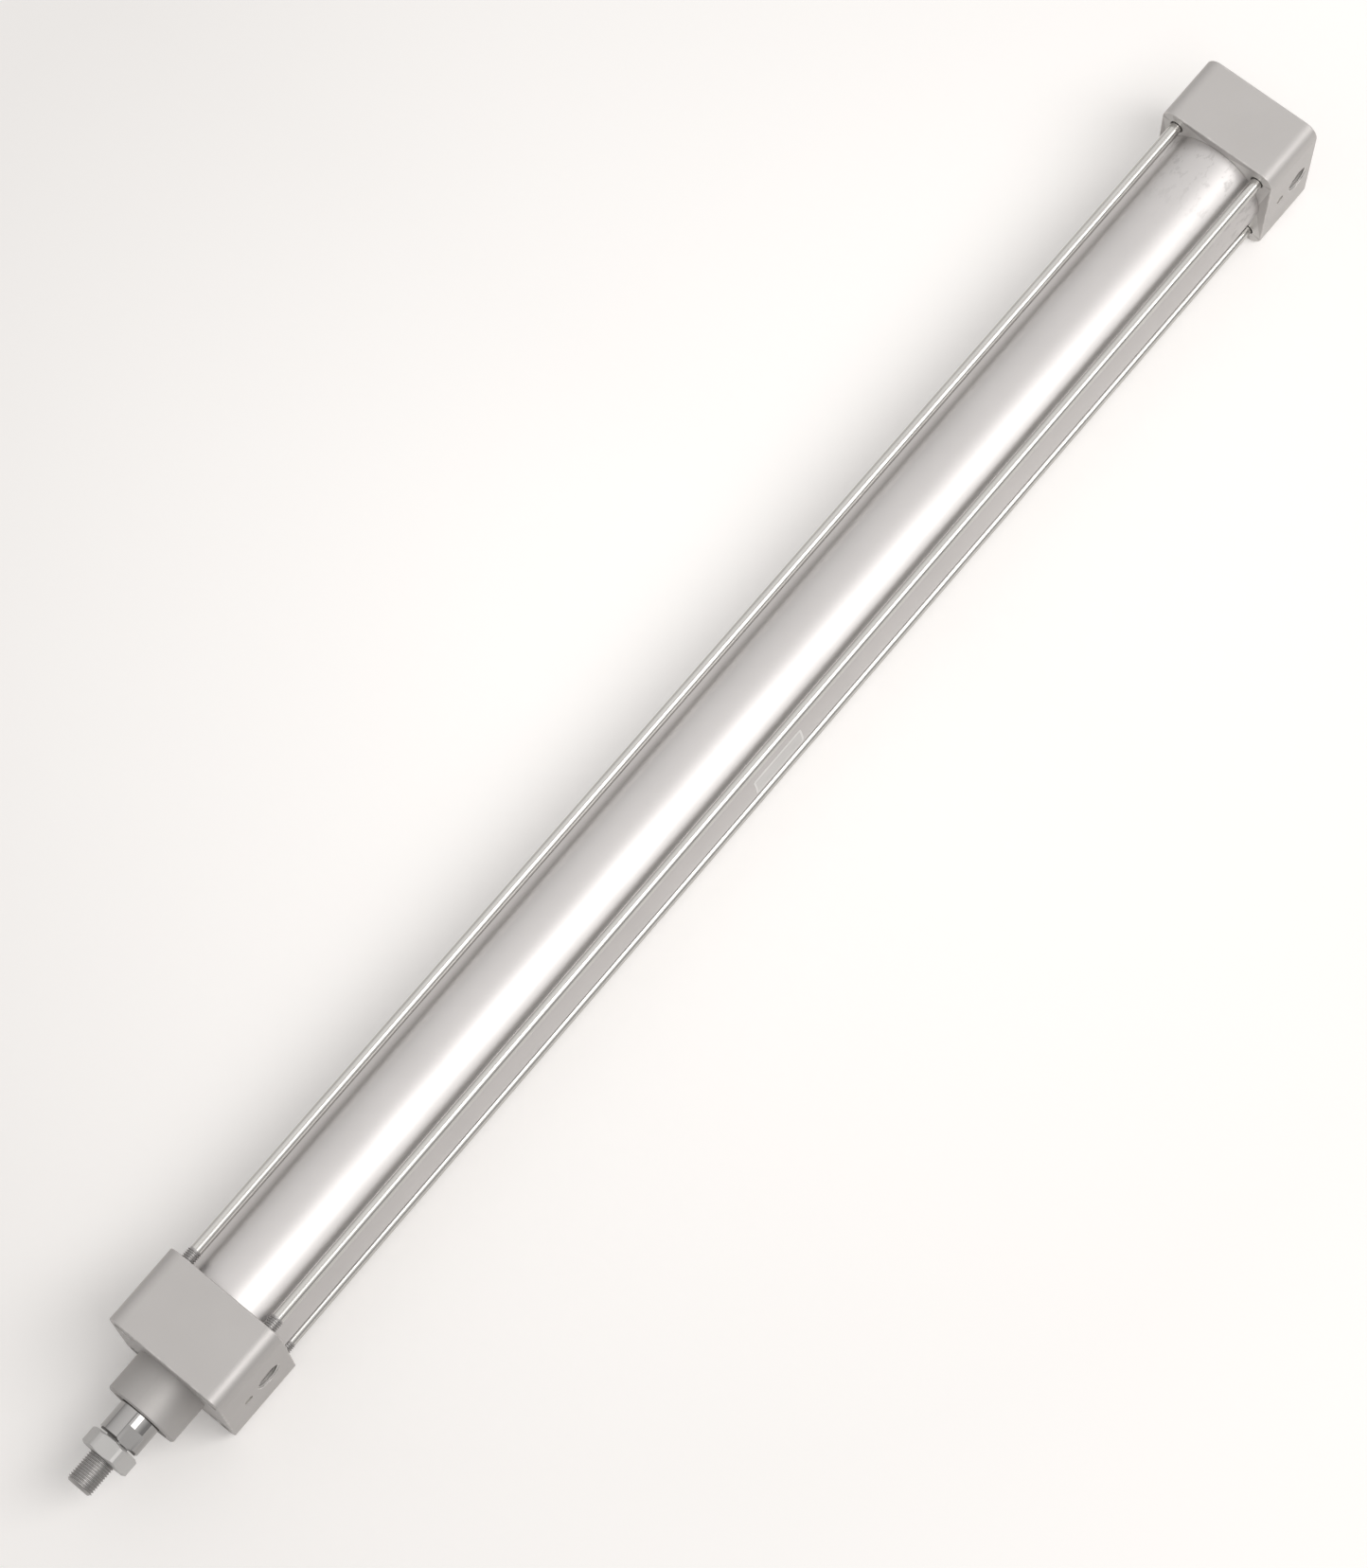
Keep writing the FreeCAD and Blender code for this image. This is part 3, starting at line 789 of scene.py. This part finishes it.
@dataclass
class TieRods:
    """Four bright tie rods, with their rolled threads where they show behind the rod cover."""

    radius: float = 3.5
    thread_radius: float = 4.0
    front_x: float = -9.5
    thread_start_x: float = -30.0
    thread_end_x: float = -55.0
    rear_thread_x: float = -896.5
    rear_x: float = -927.0
    chamfer: float = 0.6
    neck_start: float = 0.9
    neck_end: float = 0.3
    neck_depth: float = 0.15
    dark_from: float = 0.95
    thread: ThreadForm = ThreadForm(1.25, 0.76)
    segments: int = 48

    def outline(self, angle: float) -> Line:
        """Outline from the rear end to the front end.

        Args:
            angle: Side that is asked for, in radians.

        Returns:
            Points of distance along the axis and radius, in millimetres.
        """
        crest = self.thread_radius
        core = crest - self.chamfer
        thread = self.thread.line(self.thread_end_x, self.thread_start_x, angle / FULL_TURN, crest)
        return [
            (self.rear_x, 0.0), (self.rear_x, core), (self.rear_x + self.chamfer, crest),
            (self.rear_thread_x, crest), (self.rear_thread_x, self.radius),
            (self.thread_end_x - self.neck_start, self.radius),
            (self.thread_end_x - self.neck_end, self.radius - self.neck_depth), *thread,
            (self.thread_start_x, crest), (self.front_x - self.chamfer, crest),
            (self.front_x, core), (self.front_x, 0.0),
        ]

    def build(self) -> None:
        """Make the four rods, dark from the thread to the front end."""
        angles = even_angles(self.segments)
        number_of = past(self.thread_end_x - self.dark_from)
        for number, y, z in tie_rod_places():
            mesh = TurnedMesh("tie_rod_bar_%d" % number, self.outline, angles, (y, z)).build()
            SHELF.dress(mesh, [BRIGHT_STEEL, THREAD_STEEL], number_of)
            add_piece(mesh, BRIGHT_STEEL, Body.BARREL, ["tie_rod_%d" % number])


@dataclass
class PistonRod:
    """Chromed rod with wrench flats and a threaded nose."""

    radius: float = 12.5
    tail_radius: float = 9.0
    tail_x: float = -914.5
    seat_x: float = -837.0
    shoulder_x: float = 43.0
    chamfer: float = 1.2
    chamfer_share: float = 0.4
    chamfer_lift: float = 0.5
    flat_half: float = 11.0
    flat_x: float = 33.0
    flat_turn: float = 57.0
    neck_radius: float = 6.8
    nut_x: float = 44.0
    bite_radius: float = 7.5
    thread_x: float = 53.9
    tip_x: float = 73.5
    tip_chamfer: float = 1.5
    thread_radius: float = 8.0
    dark_from: float = 0.1
    thread: ThreadForm = ThreadForm(1.5, 0.92)
    sharp_angle: float = 20.0
    segments: int = 128

    def flat_radius(self, angle: float) -> float:
        """Distance from the axis to the surface where the two flats are cut.

        Args:
            angle: Side that is asked for, in radians.

        Returns:
            The distance in millimetres.
        """
        facing = abs(math.cos(angle - math.radians(self.flat_turn)))
        if facing * self.radius <= self.flat_half:
            return self.radius
        return self.flat_half / facing

    def tip_limit(self, along: float) -> float:
        """Largest radius that the chamfer at the tip leaves."""
        return self.thread_radius - max(0.0, along - (self.tip_x - self.tip_chamfer))

    def outline(self, angle: float) -> Line:
        """Outline from the tail to the tip.

        Args:
            angle: Side that is asked for, in radians.

        Returns:
            Points of distance along the axis and radius, in millimetres.
        """
        flat = self.flat_radius(angle)
        lead = self.radius - self.chamfer
        middle_x = self.shoulder_x - self.chamfer * self.chamfer_share
        thread = self.thread.line(self.thread_x, self.tip_x, angle / FULL_TURN, self.thread_radius)
        return [
            (self.tail_x, 0.0), (self.tail_x, self.tail_radius), (self.seat_x, self.tail_radius),
            (self.seat_x, self.radius), (self.flat_x, self.radius), (self.flat_x, flat),
            (self.shoulder_x - self.chamfer, flat),
            (middle_x, min(flat, lead + self.chamfer_lift)),
            (self.shoulder_x, min(flat, lead)), (self.shoulder_x, self.neck_radius),
            (self.nut_x, self.neck_radius), (self.nut_x, self.bite_radius),
            (self.thread_x, self.bite_radius),
            *[(along, min(radius, self.tip_limit(along))) for along, radius in thread],
            (self.tip_x, 0.0),
        ]

    def angles(self) -> list[float]:
        """Even angles and those where the flats run out.

        Returns:
            The angles in radians, in order.
        """
        reach = math.acos(self.flat_half / self.radius)
        ends = [
            (math.radians(self.flat_turn) + half + side * reach) % FULL_TURN
            for half in (0.0, math.pi) for side in (-1, 1)
        ]
        return sorted(even_angles(self.segments) + ends)

    def build(self) -> None:
        """Make the rod, dark past its shoulder."""
        mesh = TurnedMesh(
            "piston_rod_bar", self.outline, self.angles(), sharp_angle=self.sharp_angle,
        ).build()
        SHELF.dress(mesh, [CHROME, THREAD_STEEL], past(self.shoulder_x + self.dark_from))
        add_piece(mesh, CHROME, Body.ROD, ["piston_rod"])


@dataclass
class LockNut:
    """Hexagon lock nut with turned corners and softened edges."""

    start_x: float = 44.0
    thickness: float = 10.5
    width: float = 27.0
    turn: float = 3.0
    hole_radius: float = 7.53
    mouth: float = 0.7
    corner_softness: float = 0.9
    corner_share: float = 0.35
    face_inset: float = 0.4
    chamfer_slope: float = math.tan(math.radians(30.0))
    steps: tuple[float, ...] = (0.0, 0.15, 0.3, 0.5, 0.7, 0.9, 1.1, 1.3, 1.5, 1.7, 1.9, 2.1, 2.3)
    sharp_angle: float = 16.0
    segments: int = 360

    def side_radius(self, angle: float) -> float:
        """Distance from the axis to the hexagon's side, soft at the corners.

        Args:
            angle: Side that is asked for, in radians.

        Returns:
            The distance in millimetres.
        """
        first_flat = math.radians(90.0 - self.turn)
        sector = (angle - first_flat + math.pi / 6) % (math.pi / 3) - math.pi / 6
        sharp = self.width / 2 / math.cos(sector)
        corner = self.width / math.sqrt(3) - self.corner_softness
        excess = sharp - corner
        if excess <= 0:
            return sharp
        return corner + excess * self.corner_share

    def crown_radius(self, along: float) -> float:
        """Radius that the turned chamfer leaves at a distance from the nearer face."""
        return self.width / 2 - self.face_inset + along / self.chamfer_slope

    def outline(self, angle: float) -> Line:
        """Closed outline of the nut, soft at its corners.

        Args:
            angle: Side that is asked for, in radians.

        Returns:
            Points of distance along the axis and radius, in millimetres.
        """
        end_x = self.start_x + self.thickness
        side = self.side_radius(angle)
        crown = [(step, min(side, self.crown_radius(step))) for step in self.steps]
        near = [(self.start_x + step, radius) for step, radius in crown]
        far = [(end_x - step, radius) for step, radius in reversed(crown)]
        return [
            (self.start_x, self.hole_radius + self.mouth), *near, *far,
            (end_x, self.hole_radius + self.mouth), (end_x - self.mouth, self.hole_radius),
            (self.start_x + self.mouth, self.hole_radius),
        ]

    def build(self) -> None:
        """Make the nut."""
        angles = even_angles(self.segments)
        mesh = TurnedMesh(
            "lock_nut", self.outline, angles, closed=True, sharp_angle=self.sharp_angle,
        ).build()
        add_piece(mesh, ZINC, Body.ROD, ["rod_end_nut"])


def combined(
    name: str,
    work: bmesh.types.BMesh,
    cutters: Sequence[bpy.types.Mesh],
    sharp_angle: float,
) -> bpy.types.Mesh:
    """Cut other meshes out of a closed mesh and smooth what is left.

    Args:
        name: Name of the result.
        work: Closed mesh that is cut. It is freed here.
        cutters: Closed meshes that are taken away.
        sharp_angle: Angle in degrees above which an edge stays sharp.

    Returns:
        The mesh that is left, with its sharp edges marked.
    """
    mesh = bpy.data.meshes.new(name)
    work.to_mesh(mesh)
    work.free()
    body = put_in_scene(name, mesh)
    helpers = [put_in_scene("cutter", cutter) for cutter in cutters]
    for helper in helpers:
        cut = body.modifiers.new("cut", "BOOLEAN")
        cut.operation = "DIFFERENCE"
        cut.solver = "EXACT"
        cut.object = helper
    graph = bpy.context.evaluated_depsgraph_get()
    result = bpy.data.meshes.new_from_object(body.evaluated_get(graph), depsgraph=graph)
    result.name = name
    for item in (body, *helpers):
        old = item.data
        bpy.data.objects.remove(item)
        bpy.data.meshes.remove(old)
    result.materials.clear()
    smooth(result, sharp_angle)
    return result


def shade_like(
    mesh: bpy.types.Mesh, source: bpy.types.Mesh, reach: float = 0.002, agreement: float = 0.5,
) -> None:
    """Give a mesh the normals of the mesh that it was cut from, wherever their corners meet.

    Args:
        mesh: Mesh that is shaded.
        source: Mesh whose normals are right.
        reach: Distance in millimetres within which two corners are one.
        agreement: Least cosine between a normal that is taken over and the face.
    """
    towards = {
        loop.vertex_index: source.corner_normals[loop.index].vector.copy() for loop in source.loops
    }
    tree = KDTree(len(source.vertices))
    for vertex in source.vertices:
        tree.insert(vertex.co, vertex.index)
    tree.balance()
    normals = [corner.vector.copy() for corner in mesh.corner_normals]
    for face in mesh.polygons:
        for corner in face.loop_indices:
            place = mesh.vertices[mesh.loops[corner].vertex_index].co
            near = tree.find_range(place, reach * MM)
            known = [towards[index] for _, index, _ in near if index in towards]
            if known:
                best = max(known, key=face.normal.dot)
                if best.dot(face.normal) > agreement:
                    normals[corner] = best
    mesh.normals_split_custom_set(normals)


@dataclass
class Cover:
    """Square cover of the barrel, made from its solid, with a thread cut in the air port."""

    node: str
    piece: str
    finish: Finish
    port_x: float
    face_x: float
    inward: int
    boss_finish: Optional[Finish] = None
    thread_radius: float = 8.33
    thread_depth: float = 15.0
    thread_lead: float = 0.6
    thread: ThreadForm = ThreadForm(1.337, 1.05, 0.16, 0.20)
    port_margin: float = 0.3
    skin: float = 0.02
    face_margin: float = 0.5
    side_margin: float = 3.0
    nose_bore_radius: float = 18.5
    boss_margin: float = 0.01
    sharp_angle: float = 32.0
    segments: int = 72

    def outline(self, angle: float) -> Line:
        """Outline of the threaded plug, from its inner end to its outer end.

        Args:
            angle: Side that is asked for, in radians.

        Returns:
            Points of distance along the axis and radius, in millimetres.
        """
        outer = HALF_SIDE + self.thread_lead
        inner = HALF_SIDE - self.thread_depth
        line = self.thread.line(inner, outer, angle / FULL_TURN, self.thread_radius)
        return [(inner, 0.0), *line, (outer, 0.0)]

    def cutter(self) -> bpy.types.Mesh:
        """Threaded plug, turned to point into the port.

        Returns:
            The plug's mesh.
        """
        mesh = TurnedMesh("port_thread", self.outline, even_angles(self.segments)).build()
        quarter = Matrix.Rotation(math.radians(90.0), 4, "Z")
        mesh.transform(Matrix.Translation(Vector((self.port_x * MM, 0.0, 0.0))) @ quarter)
        return mesh

    def solid(self) -> bmesh.types.BMesh:
        """Closed copy of the cover's own mesh.

        Returns:
            The copy, its doubled points merged.
        """
        work = bmesh.new()
        work.from_mesh(frame["nodes"][self.node].data)
        bmesh.ops.remove_doubles(work, verts=work.verts, dist=WELD * MM)
        return work

    def is_machined(self, face: Face) -> bool:
        """Whether a face lies in a bore, in the port or towards the tube.

        Args:
            face: Face of the cover's mesh.

        Returns:
            True where the face is bare metal.
        """
        centre = face.center / MM
        inside = HALF_SIDE - max(abs(centre.y), abs(centre.z))
        from_face = (centre.x - self.face_x) * self.inward
        from_port = math.hypot(centre.x - self.port_x, centre.z)
        if from_port < self.thread_radius + self.port_margin and centre.y > 0:
            return inside > self.skin
        if from_face < 0:
            return math.hypot(centre.y, centre.z) < self.nose_bore_radius
        return from_face > self.face_margin and inside > self.side_margin

    def number_of(self, face: Face) -> int:
        """Number of the finish for a face.

        Args:
            face: Face of the cover's mesh.

        Returns:
            0 for the paint, 1 for machined faces and 2 for the boss.
        """
        if self.is_machined(face):
            return 1
        on_boss = face.center.x > (self.face_x + self.boss_margin) * MM
        return 2 if on_boss and self.boss_finish is not None else 0

    def build(self) -> None:
        """Make the cover."""
        mesh = combined(self.piece, self.solid(), [self.cutter()], self.sharp_angle)
        shade_like(mesh, frame["nodes"][self.node].data)
        finishes = (self.finish, BORED, self.boss_finish)
        SHELF.dress(mesh, [finish for finish in finishes if finish is not None], self.number_of)
        add_piece(mesh, self.finish, Body.BARREL, [self.node])


@dataclass
class RoundNuts:
    """Eight round nuts sunk in the covers, slotted, with a thread for the mounting screws."""

    radius: float = 6.9
    length: float = 18.0
    recess: float = 0.5
    engagement: float = 9.0
    hole_radius: float = 4.02
    thread_radius: float = 4.0
    thread_lead: float = 0.15
    edge: float = 0.3
    mouth: float = 0.5
    slot_width: float = 2.0
    slot_depth: float = 2.0
    slot_beyond: float = 1.0
    head_face_x: float = -936.5
    thread: ThreadForm = ThreadForm(1.25, 0.60, 0.25, 0.125)
    sharp_angle: float = 25.0
    segments: int = 48

    def outline(self, angle: float) -> Line:
        """Closed outline of the nut, its outer face at 0 and its body towards -X.

        Args:
            angle: Side that is asked for, in radians.

        Returns:
            Points of distance along the axis and radius, in millimetres.
        """
        step = self.engagement - self.length
        thread = self.thread.line(step, -self.mouth, angle / FULL_TURN, self.thread_radius)
        return [
            (-self.length, self.hole_radius), (step, self.hole_radius), *thread,
            (0.0, self.thread_radius + self.thread_lead), (0.0, self.radius - self.edge),
            (-self.edge, self.radius), (self.edge - self.length, self.radius),
            (-self.length, self.radius - self.edge),
        ]

    def slot(self) -> bpy.types.Mesh:
        """Bar that cuts the driving slot across the outer face.

        Returns:
            The bar's mesh.
        """
        half = self.slot_width / 2 * MM
        reach = (self.radius + self.slot_beyond) * MM
        ends = (-self.slot_depth * MM, self.slot_beyond * MM)
        corners = [(x, y, z) for x in ends for y in (-reach, reach) for z in (-half, half)]
        faces = [(0, 1, 3, 2), (4, 6, 7, 5), (0, 4, 5, 1), (2, 3, 7, 6), (0, 2, 6, 4), (1, 5, 7, 3)]
        return finished_mesh("slot_bar", corners, faces, self.sharp_angle)

    def one(self) -> bpy.types.Mesh:
        """Make the nut at the origin.

        Returns:
            The nut's mesh.
        """
        angles = even_angles(self.segments)
        mesh = TurnedMesh("round_nut", self.outline, angles, closed=True).build()
        work = bmesh.new()
        work.from_mesh(mesh)
        bpy.data.meshes.remove(mesh)
        return combined("round_nut", work, [self.slot()], self.sharp_angle)

    def build(self) -> None:
        """Make the eight nuts from one."""
        first = self.one()
        ends = {
            "front": (-self.recess, Matrix.Identity(4)),
            "rear": (self.head_face_x + self.recess, Matrix.Rotation(math.pi, 4, "Z")),
        }
        for number, y, z in tie_rod_places():
            for end, (x, turn) in ends.items():
                mesh = first.copy()
                mesh.name = "%s_round_nut_%d" % (end, number)
                mesh.transform(Matrix.Translation(Vector((x, y, z)) * MM) @ turn)
                add_piece(mesh, ZINC, Body.BARREL, ["%s_tie_rod_nut_%d" % (end, number)])
        bpy.data.meshes.remove(first)


@dataclass
class Label:
    """Bare foil label on the tube's side, with a lighter margin."""

    near_x: float = -440.8
    far_x: float = -481.2
    low: float = -1.0
    high: float = 21.8
    thickness: float = 0.12
    sunk: float = 0.02
    margin: float = 1.3
    corner: float = 1.2
    least_corner: float = 0.25
    corner_steps: int = 5
    side_steps: int = 14
    sharp_angle: float = 30.0

    def rows(self, inset: float) -> Line:
        """Rows of a rounded rectangle laid flat.

        Args:
            inset: Distance inside the label's outline, in millimetres.

        Returns:
            Height of each row above the middle and half its length.
        """
        half_high = TUBE_RADIUS * math.radians(self.high - self.low) / 2 - inset
        half_long = abs(self.far_x - self.near_x) / 2 - inset
        corner = max(self.corner - inset, self.least_corner)
        turns = [math.pi / 2 * step / self.corner_steps for step in range(self.corner_steps + 1)]
        bend = [
            (half_high - corner * (1 - math.cos(turn)), half_long - corner * (1 - math.sin(turn)))
            for turn in turns
        ]
        straight = half_high - corner
        sides = [
            (straight * (2 * step / self.side_steps - 1), half_long)
            for step in range(1, self.side_steps)
        ]
        return [(-high, half) for high, half in bend] + sides + list(reversed(bend))

    def rolled(self, high: float, along: float, lift: float) -> Triple:
        """Place a flat point on the tube.

        Args:
            high: Height above the label's middle, in millimetres.
            along: Distance from the middle along the axis, in millimetres.
            lift: Distance off the tube, in millimetres.

        Returns:
            Its place in metres.
        """
        radius = TUBE_RADIUS + lift
        angle = math.radians((self.low + self.high) / 2) + high / TUBE_RADIUS
        middle_x = (self.near_x + self.far_x) / 2
        return (
            (middle_x + along) * MM, radius * math.cos(angle) * MM, radius * math.sin(angle) * MM,
        )

    def build(self) -> None:
        """Make the label as a thin closed sheet: underside, rim, margin and field."""
        layers = ((0.0, -self.sunk), (0.0, self.thickness), (self.margin, self.thickness))
        work = bmesh.new()
        sheets = [
            [
                [work.verts.new(self.rolled(high, side * half, lift)) for side in (-1, 1)]
                for high, half in self.rows(inset)
            ]
            for inset, lift in layers
        ]

        def join(number: int, near: Sequence, far: Sequence) -> None:
            """Add a face between two pairs of corners, with the number of its finish."""
            work.faces.new((near[0], near[1], far[1], far[0])).material_index = number

        for number, sheet in ((1, sheets[0]), (0, sheets[2])):
            for first, second in zip(sheet, sheet[1:]):
                join(number, first, second)
        for outer, inner in zip(sheets, sheets[1:]):
            for end in (0, -1):
                join(1, outer[end], inner[end])
            for side in (0, 1):
                borders = [[row[side] for row in sheet] for sheet in (outer, inner)]
                for row in range(len(outer) - 1):
                    join(1, *(border[row:row + 2] for border in borders))
        bmesh.ops.recalc_face_normals(work, faces=work.faces)
        mesh = bpy.data.meshes.new("bare_label")
        work.to_mesh(mesh)
        work.free()
        smooth(mesh, self.sharp_angle)
        SHELF.dress(mesh, [LABEL_FOIL, LABEL_MARGIN])
        add_piece(mesh, LABEL_FOIL, Body.BARREL)


class CarriedNodes:
    """Nodes of the frame whose own shape stays and that get a finish."""

    finishes: dict[str, Finish] = {
        finish.slot.value: finish
        for finish in (
            FRONT_PAINT, ANODISED, BRIGHT_STEEL, ZINC, CHROME, MACHINED, BRASS, BRONZE, RUBBER,
            PLASTIC,
        )
    }

    def build(self) -> None:
        """Give every node the finish of its material slot."""
        for part in frame["record"]["subparts"]:
            node = frame["nodes"][part["node"]]
            finish = self.finishes[part["material_slot"]]
            node.data.materials.clear()
            SHELF.dress(node.data, [finish])
            log.info("node %s: finish %s", part["node"], finish.name)


def is_seen(desk: NodeDesk) -> Socket:
    """Mask that is 1 where the camera sees something, straight or in metal or glass.

    Args:
        desk: Desk of the material or world.

    Returns:
        The socket with the mask.
    """
    path = desk.add("ShaderNodeLightPath")
    seen = desk.math("MAXIMUM", path["Is Camera Ray"], path["Is Glossy Ray"])
    return desk.math("MAXIMUM", seen, path["Is Transmission Ray"])


@dataclass
class Floor:
    """Warm white paper with a painted pool of light: it glows to the camera, brighter near the
    cylinder's middle and past its rear end.
    """

    height: float = -38.5
    half: float = 6.0
    colours: tuple[Triple, Triple] = ((0.94, 0.922, 0.905), (0.925, 0.907, 0.89))
    mottle_scale: float = 2.0
    specular: float = 0.1
    roughness: float = 0.9
    painted_light_middle: Triple = (-0.486, -0.110, -0.0385)
    painted_light_near: Ramp = (0.07, 0.49, 0.267, 0.155)
    painted_light_far: Ramp = (-0.60, -1.05, 0.0, 0.07)

    def material(self) -> bpy.types.Material:
        """Matt paper, with painted light that glows to the camera near the cylinder and past its
        rear end.

        Returns:
            The floor's material.
        """
        material, desk, shader = new_material("floor_paper")
        mottle = GRAIN.place(desk, Scale=self.mottle_scale, Detail=2.0)
        first, second = self.colours
        place = desk.place_on_object()
        # Painted light: emission seen by the camera and in metal, strongest round a middle point
        # and growing past the rear end.
        away = desk.length(desk.vector_math("SUBTRACT", place, self.painted_light_middle))
        near = desk.spread(away, *self.painted_light_near)
        far = desk.spread(desk.parts(place)[0], *self.painted_light_far)
        desk.fill(shader, {
            "Base Color": desk.blend(mottle, (*first, 1.0), (*second, 1.0)),
            "Specular IOR Level": self.specular, "Roughness": self.roughness,
            "Emission Color": (*LIGHT_COLOUR, 1.0),
            "Emission Strength": desk.math("MULTIPLY", is_seen(desk), desk.math("ADD", near, far)),
        })
        return material

    def build(self) -> None:
        """Lay the floor."""
        half, z = self.half, self.height * MM
        corners = [(-half, -half, z), (half, -half, z), (half, half, z), (-half, half, z)]
        mesh = bpy.data.meshes.new("studio_floor")
        mesh.from_pydata(corners, [], [(0, 1, 2, 3)])
        mesh.materials.append(self.material())
        floor = put_in_scene("studio_floor", mesh)


@dataclass
class Room:
    """Pale surroundings that light the object more softly than they look.

    They fall off to the horizon, more so in front of the nose and below the lamp, with a dark seam
    along the lamp's inner edge.
    """

    dome: float = 0.48
    seen: float = 1.0
    far_side: Ramp = (0.0, 0.45, 0.52, 1.0)
    lamp_side: Ramp = (0.30, 0.72, 0.47, 1.0)
    sides: Ramp = (-0.05, 0.15, 0.0, 1.0)
    front: Ramp = (0.2, 0.9, 0.0, 0.45)
    front_height: Ramp = (0.1, 0.6, 1.0, 0.0)
    top: Ramp = (0.45, 1.0, 0.0, 0.25)
    seam: Ramp = (0.03, 0.08, 0.60, 0.0)
    seam_height: Ramp = (0.4, 0.6, 0.0, 1.0)
    seam_slope: float = -0.08
    least_up: float = 0.05

    def brightness(self, desk: NodeDesk) -> Socket:
        """Brightness of the room in each direction.

        Args:
            desk: Desk of the world's tree.

        Returns:
            The socket with the brightness.
        """
        ahead, aside, up = desk.parts(desk.add("ShaderNodeTexCoord")["Generated"])
        far_side = desk.spread(up, *self.far_side)
        lamp_side = desk.spread(up, *self.lamp_side)
        side = desk.spread(aside, *self.sides)
        rise = desk.math("MULTIPLY_ADD", side, desk.math("SUBTRACT", lamp_side, far_side), far_side)
        front_height = desk.spread(up, *self.front_height)
        front = desk.math("MULTIPLY", desk.spread(ahead, *self.front), front_height)
        rise = desk.math("MULTIPLY", rise, desk.math("SUBTRACT", 1.0, front))
        rise = desk.math("ADD", rise, desk.spread(up, *self.top))
        slope = desk.math("DIVIDE", aside, desk.math("MAXIMUM", up, self.least_up))
        off_seam = desk.math("ABSOLUTE", desk.math("SUBTRACT", slope, self.seam_slope))
        seam_height = desk.spread(up, *self.seam_height)
        seam = desk.math("MULTIPLY", desk.spread(off_seam, *self.seam), seam_height)
        return desk.math("MULTIPLY", rise, desk.math("SUBTRACT", 1.0, seam))

    def build(self) -> None:
        """Make the scene's world."""
        world = bpy.data.worlds.new("studio_world")
        world.use_nodes = True
        bpy.context.scene.world = world
        desk = NodeDesk(world.node_tree)
        level = desk.spread(is_seen(desk), 0.0, 1.0, self.dome, self.seen)
        desk.fill(world.node_tree.nodes["Background"], {
            "Color": (*LIGHT_COLOUR, 1.0),
            "Strength": desk.math("MULTIPLY", self.brightness(desk), level),
        })


@dataclass
class SoftLamp:
    """Long soft lamp on the side of the ports."""

    place: Triple = (-1.06, 1.31, 1.95)
    aim: Triple = (-0.50, 0.0, 0.0)
    along: Triple = (0.86, -0.51, 0.0)
    size: tuple[float, float] = (2.6, 1.15)
    power: float = 32.0

    def build(self) -> None:
        """Hang the lamp with its long side as given, facing as near to its aim as that lets it."""
        data = bpy.data.lights.new("soft_lamp", "AREA")
        data.shape = "RECTANGLE"
        data.size, data.size_y = self.size
        data.energy = self.power
        data.color = LIGHT_COLOUR
        place = Vector(self.place)
        along = Vector(self.along).normalized()
        away = place - Vector(self.aim)
        back = (away - along * away.dot(along)).normalized()
        turn = Matrix((along, back.cross(along), back)).transposed().to_4x4()
        put_in_scene("soft_lamp", data).matrix_world = Matrix.Translation(place) @ turn


@dataclass
class PhotoCamera:
    """Camera that stands where the photograph was taken."""

    place: Triple = (0.137332, 0.527599, 2.158506)
    right: Triple = (-0.63511348, 0.77200993, -0.02513055)
    up: Triple = (-0.73308962, -0.59220699, 0.33447046)
    forward: Triple = (-0.24333203, -0.23084964, -0.94207111)
    lens: float = 96.6814
    sensor_width: float = 36.0
    reach: float = 100.0

    def build(self) -> None:
        """Stand the camera and set how its picture is shown."""
        data = bpy.data.cameras.new("photo_camera")
        data.sensor_fit = "AUTO"
        data.sensor_width = self.sensor_width
        data.lens = self.lens
        data.clip_end = self.reach
        axes = (Vector(self.right), Vector(self.up), -Vector(self.forward))
        camera = put_in_scene("photo_camera", data)
        camera.matrix_world = (
            Matrix.Translation(Vector(self.place)) @ Matrix(axes).transposed().to_4x4()
        )
        bpy.context.scene.camera = camera
        bpy.context.scene.view_settings.view_transform = "Standard"


def covers() -> tuple[Cover, Cover]:
    """Describe the two covers of the barrel.

    Returns:
        The front one and the rear one.
    """
    return (
        Cover(
            "rod_cover", "front_cover", FRONT_PAINT, port_x=-32.3, face_x=0.0, inward=-1,
            boss_finish=BOSS_PAINT_DULL_AND_SHADED,
        ),
        Cover("head_cover", "rear_cover", LIGHTER_LIT_REAR_PAINT, port_x=-923.5, face_x=-936.5, inward=1),
    )


def main() -> None:
    """Build the looks of the cylinder and the studio round it."""
    pieces = (Barrel(), Label(), TieRods(), RoundNuts(), PistonRod(), LockNut())
    studio = (Floor(), Room(), SoftLamp(), PhotoCamera())
    for builder in (CarriedNodes(), *covers(), *pieces, *studio):
        builder.build()
    log.info("studio: floor, room, lamp and camera")


if __name__ == "__main__":
    main()
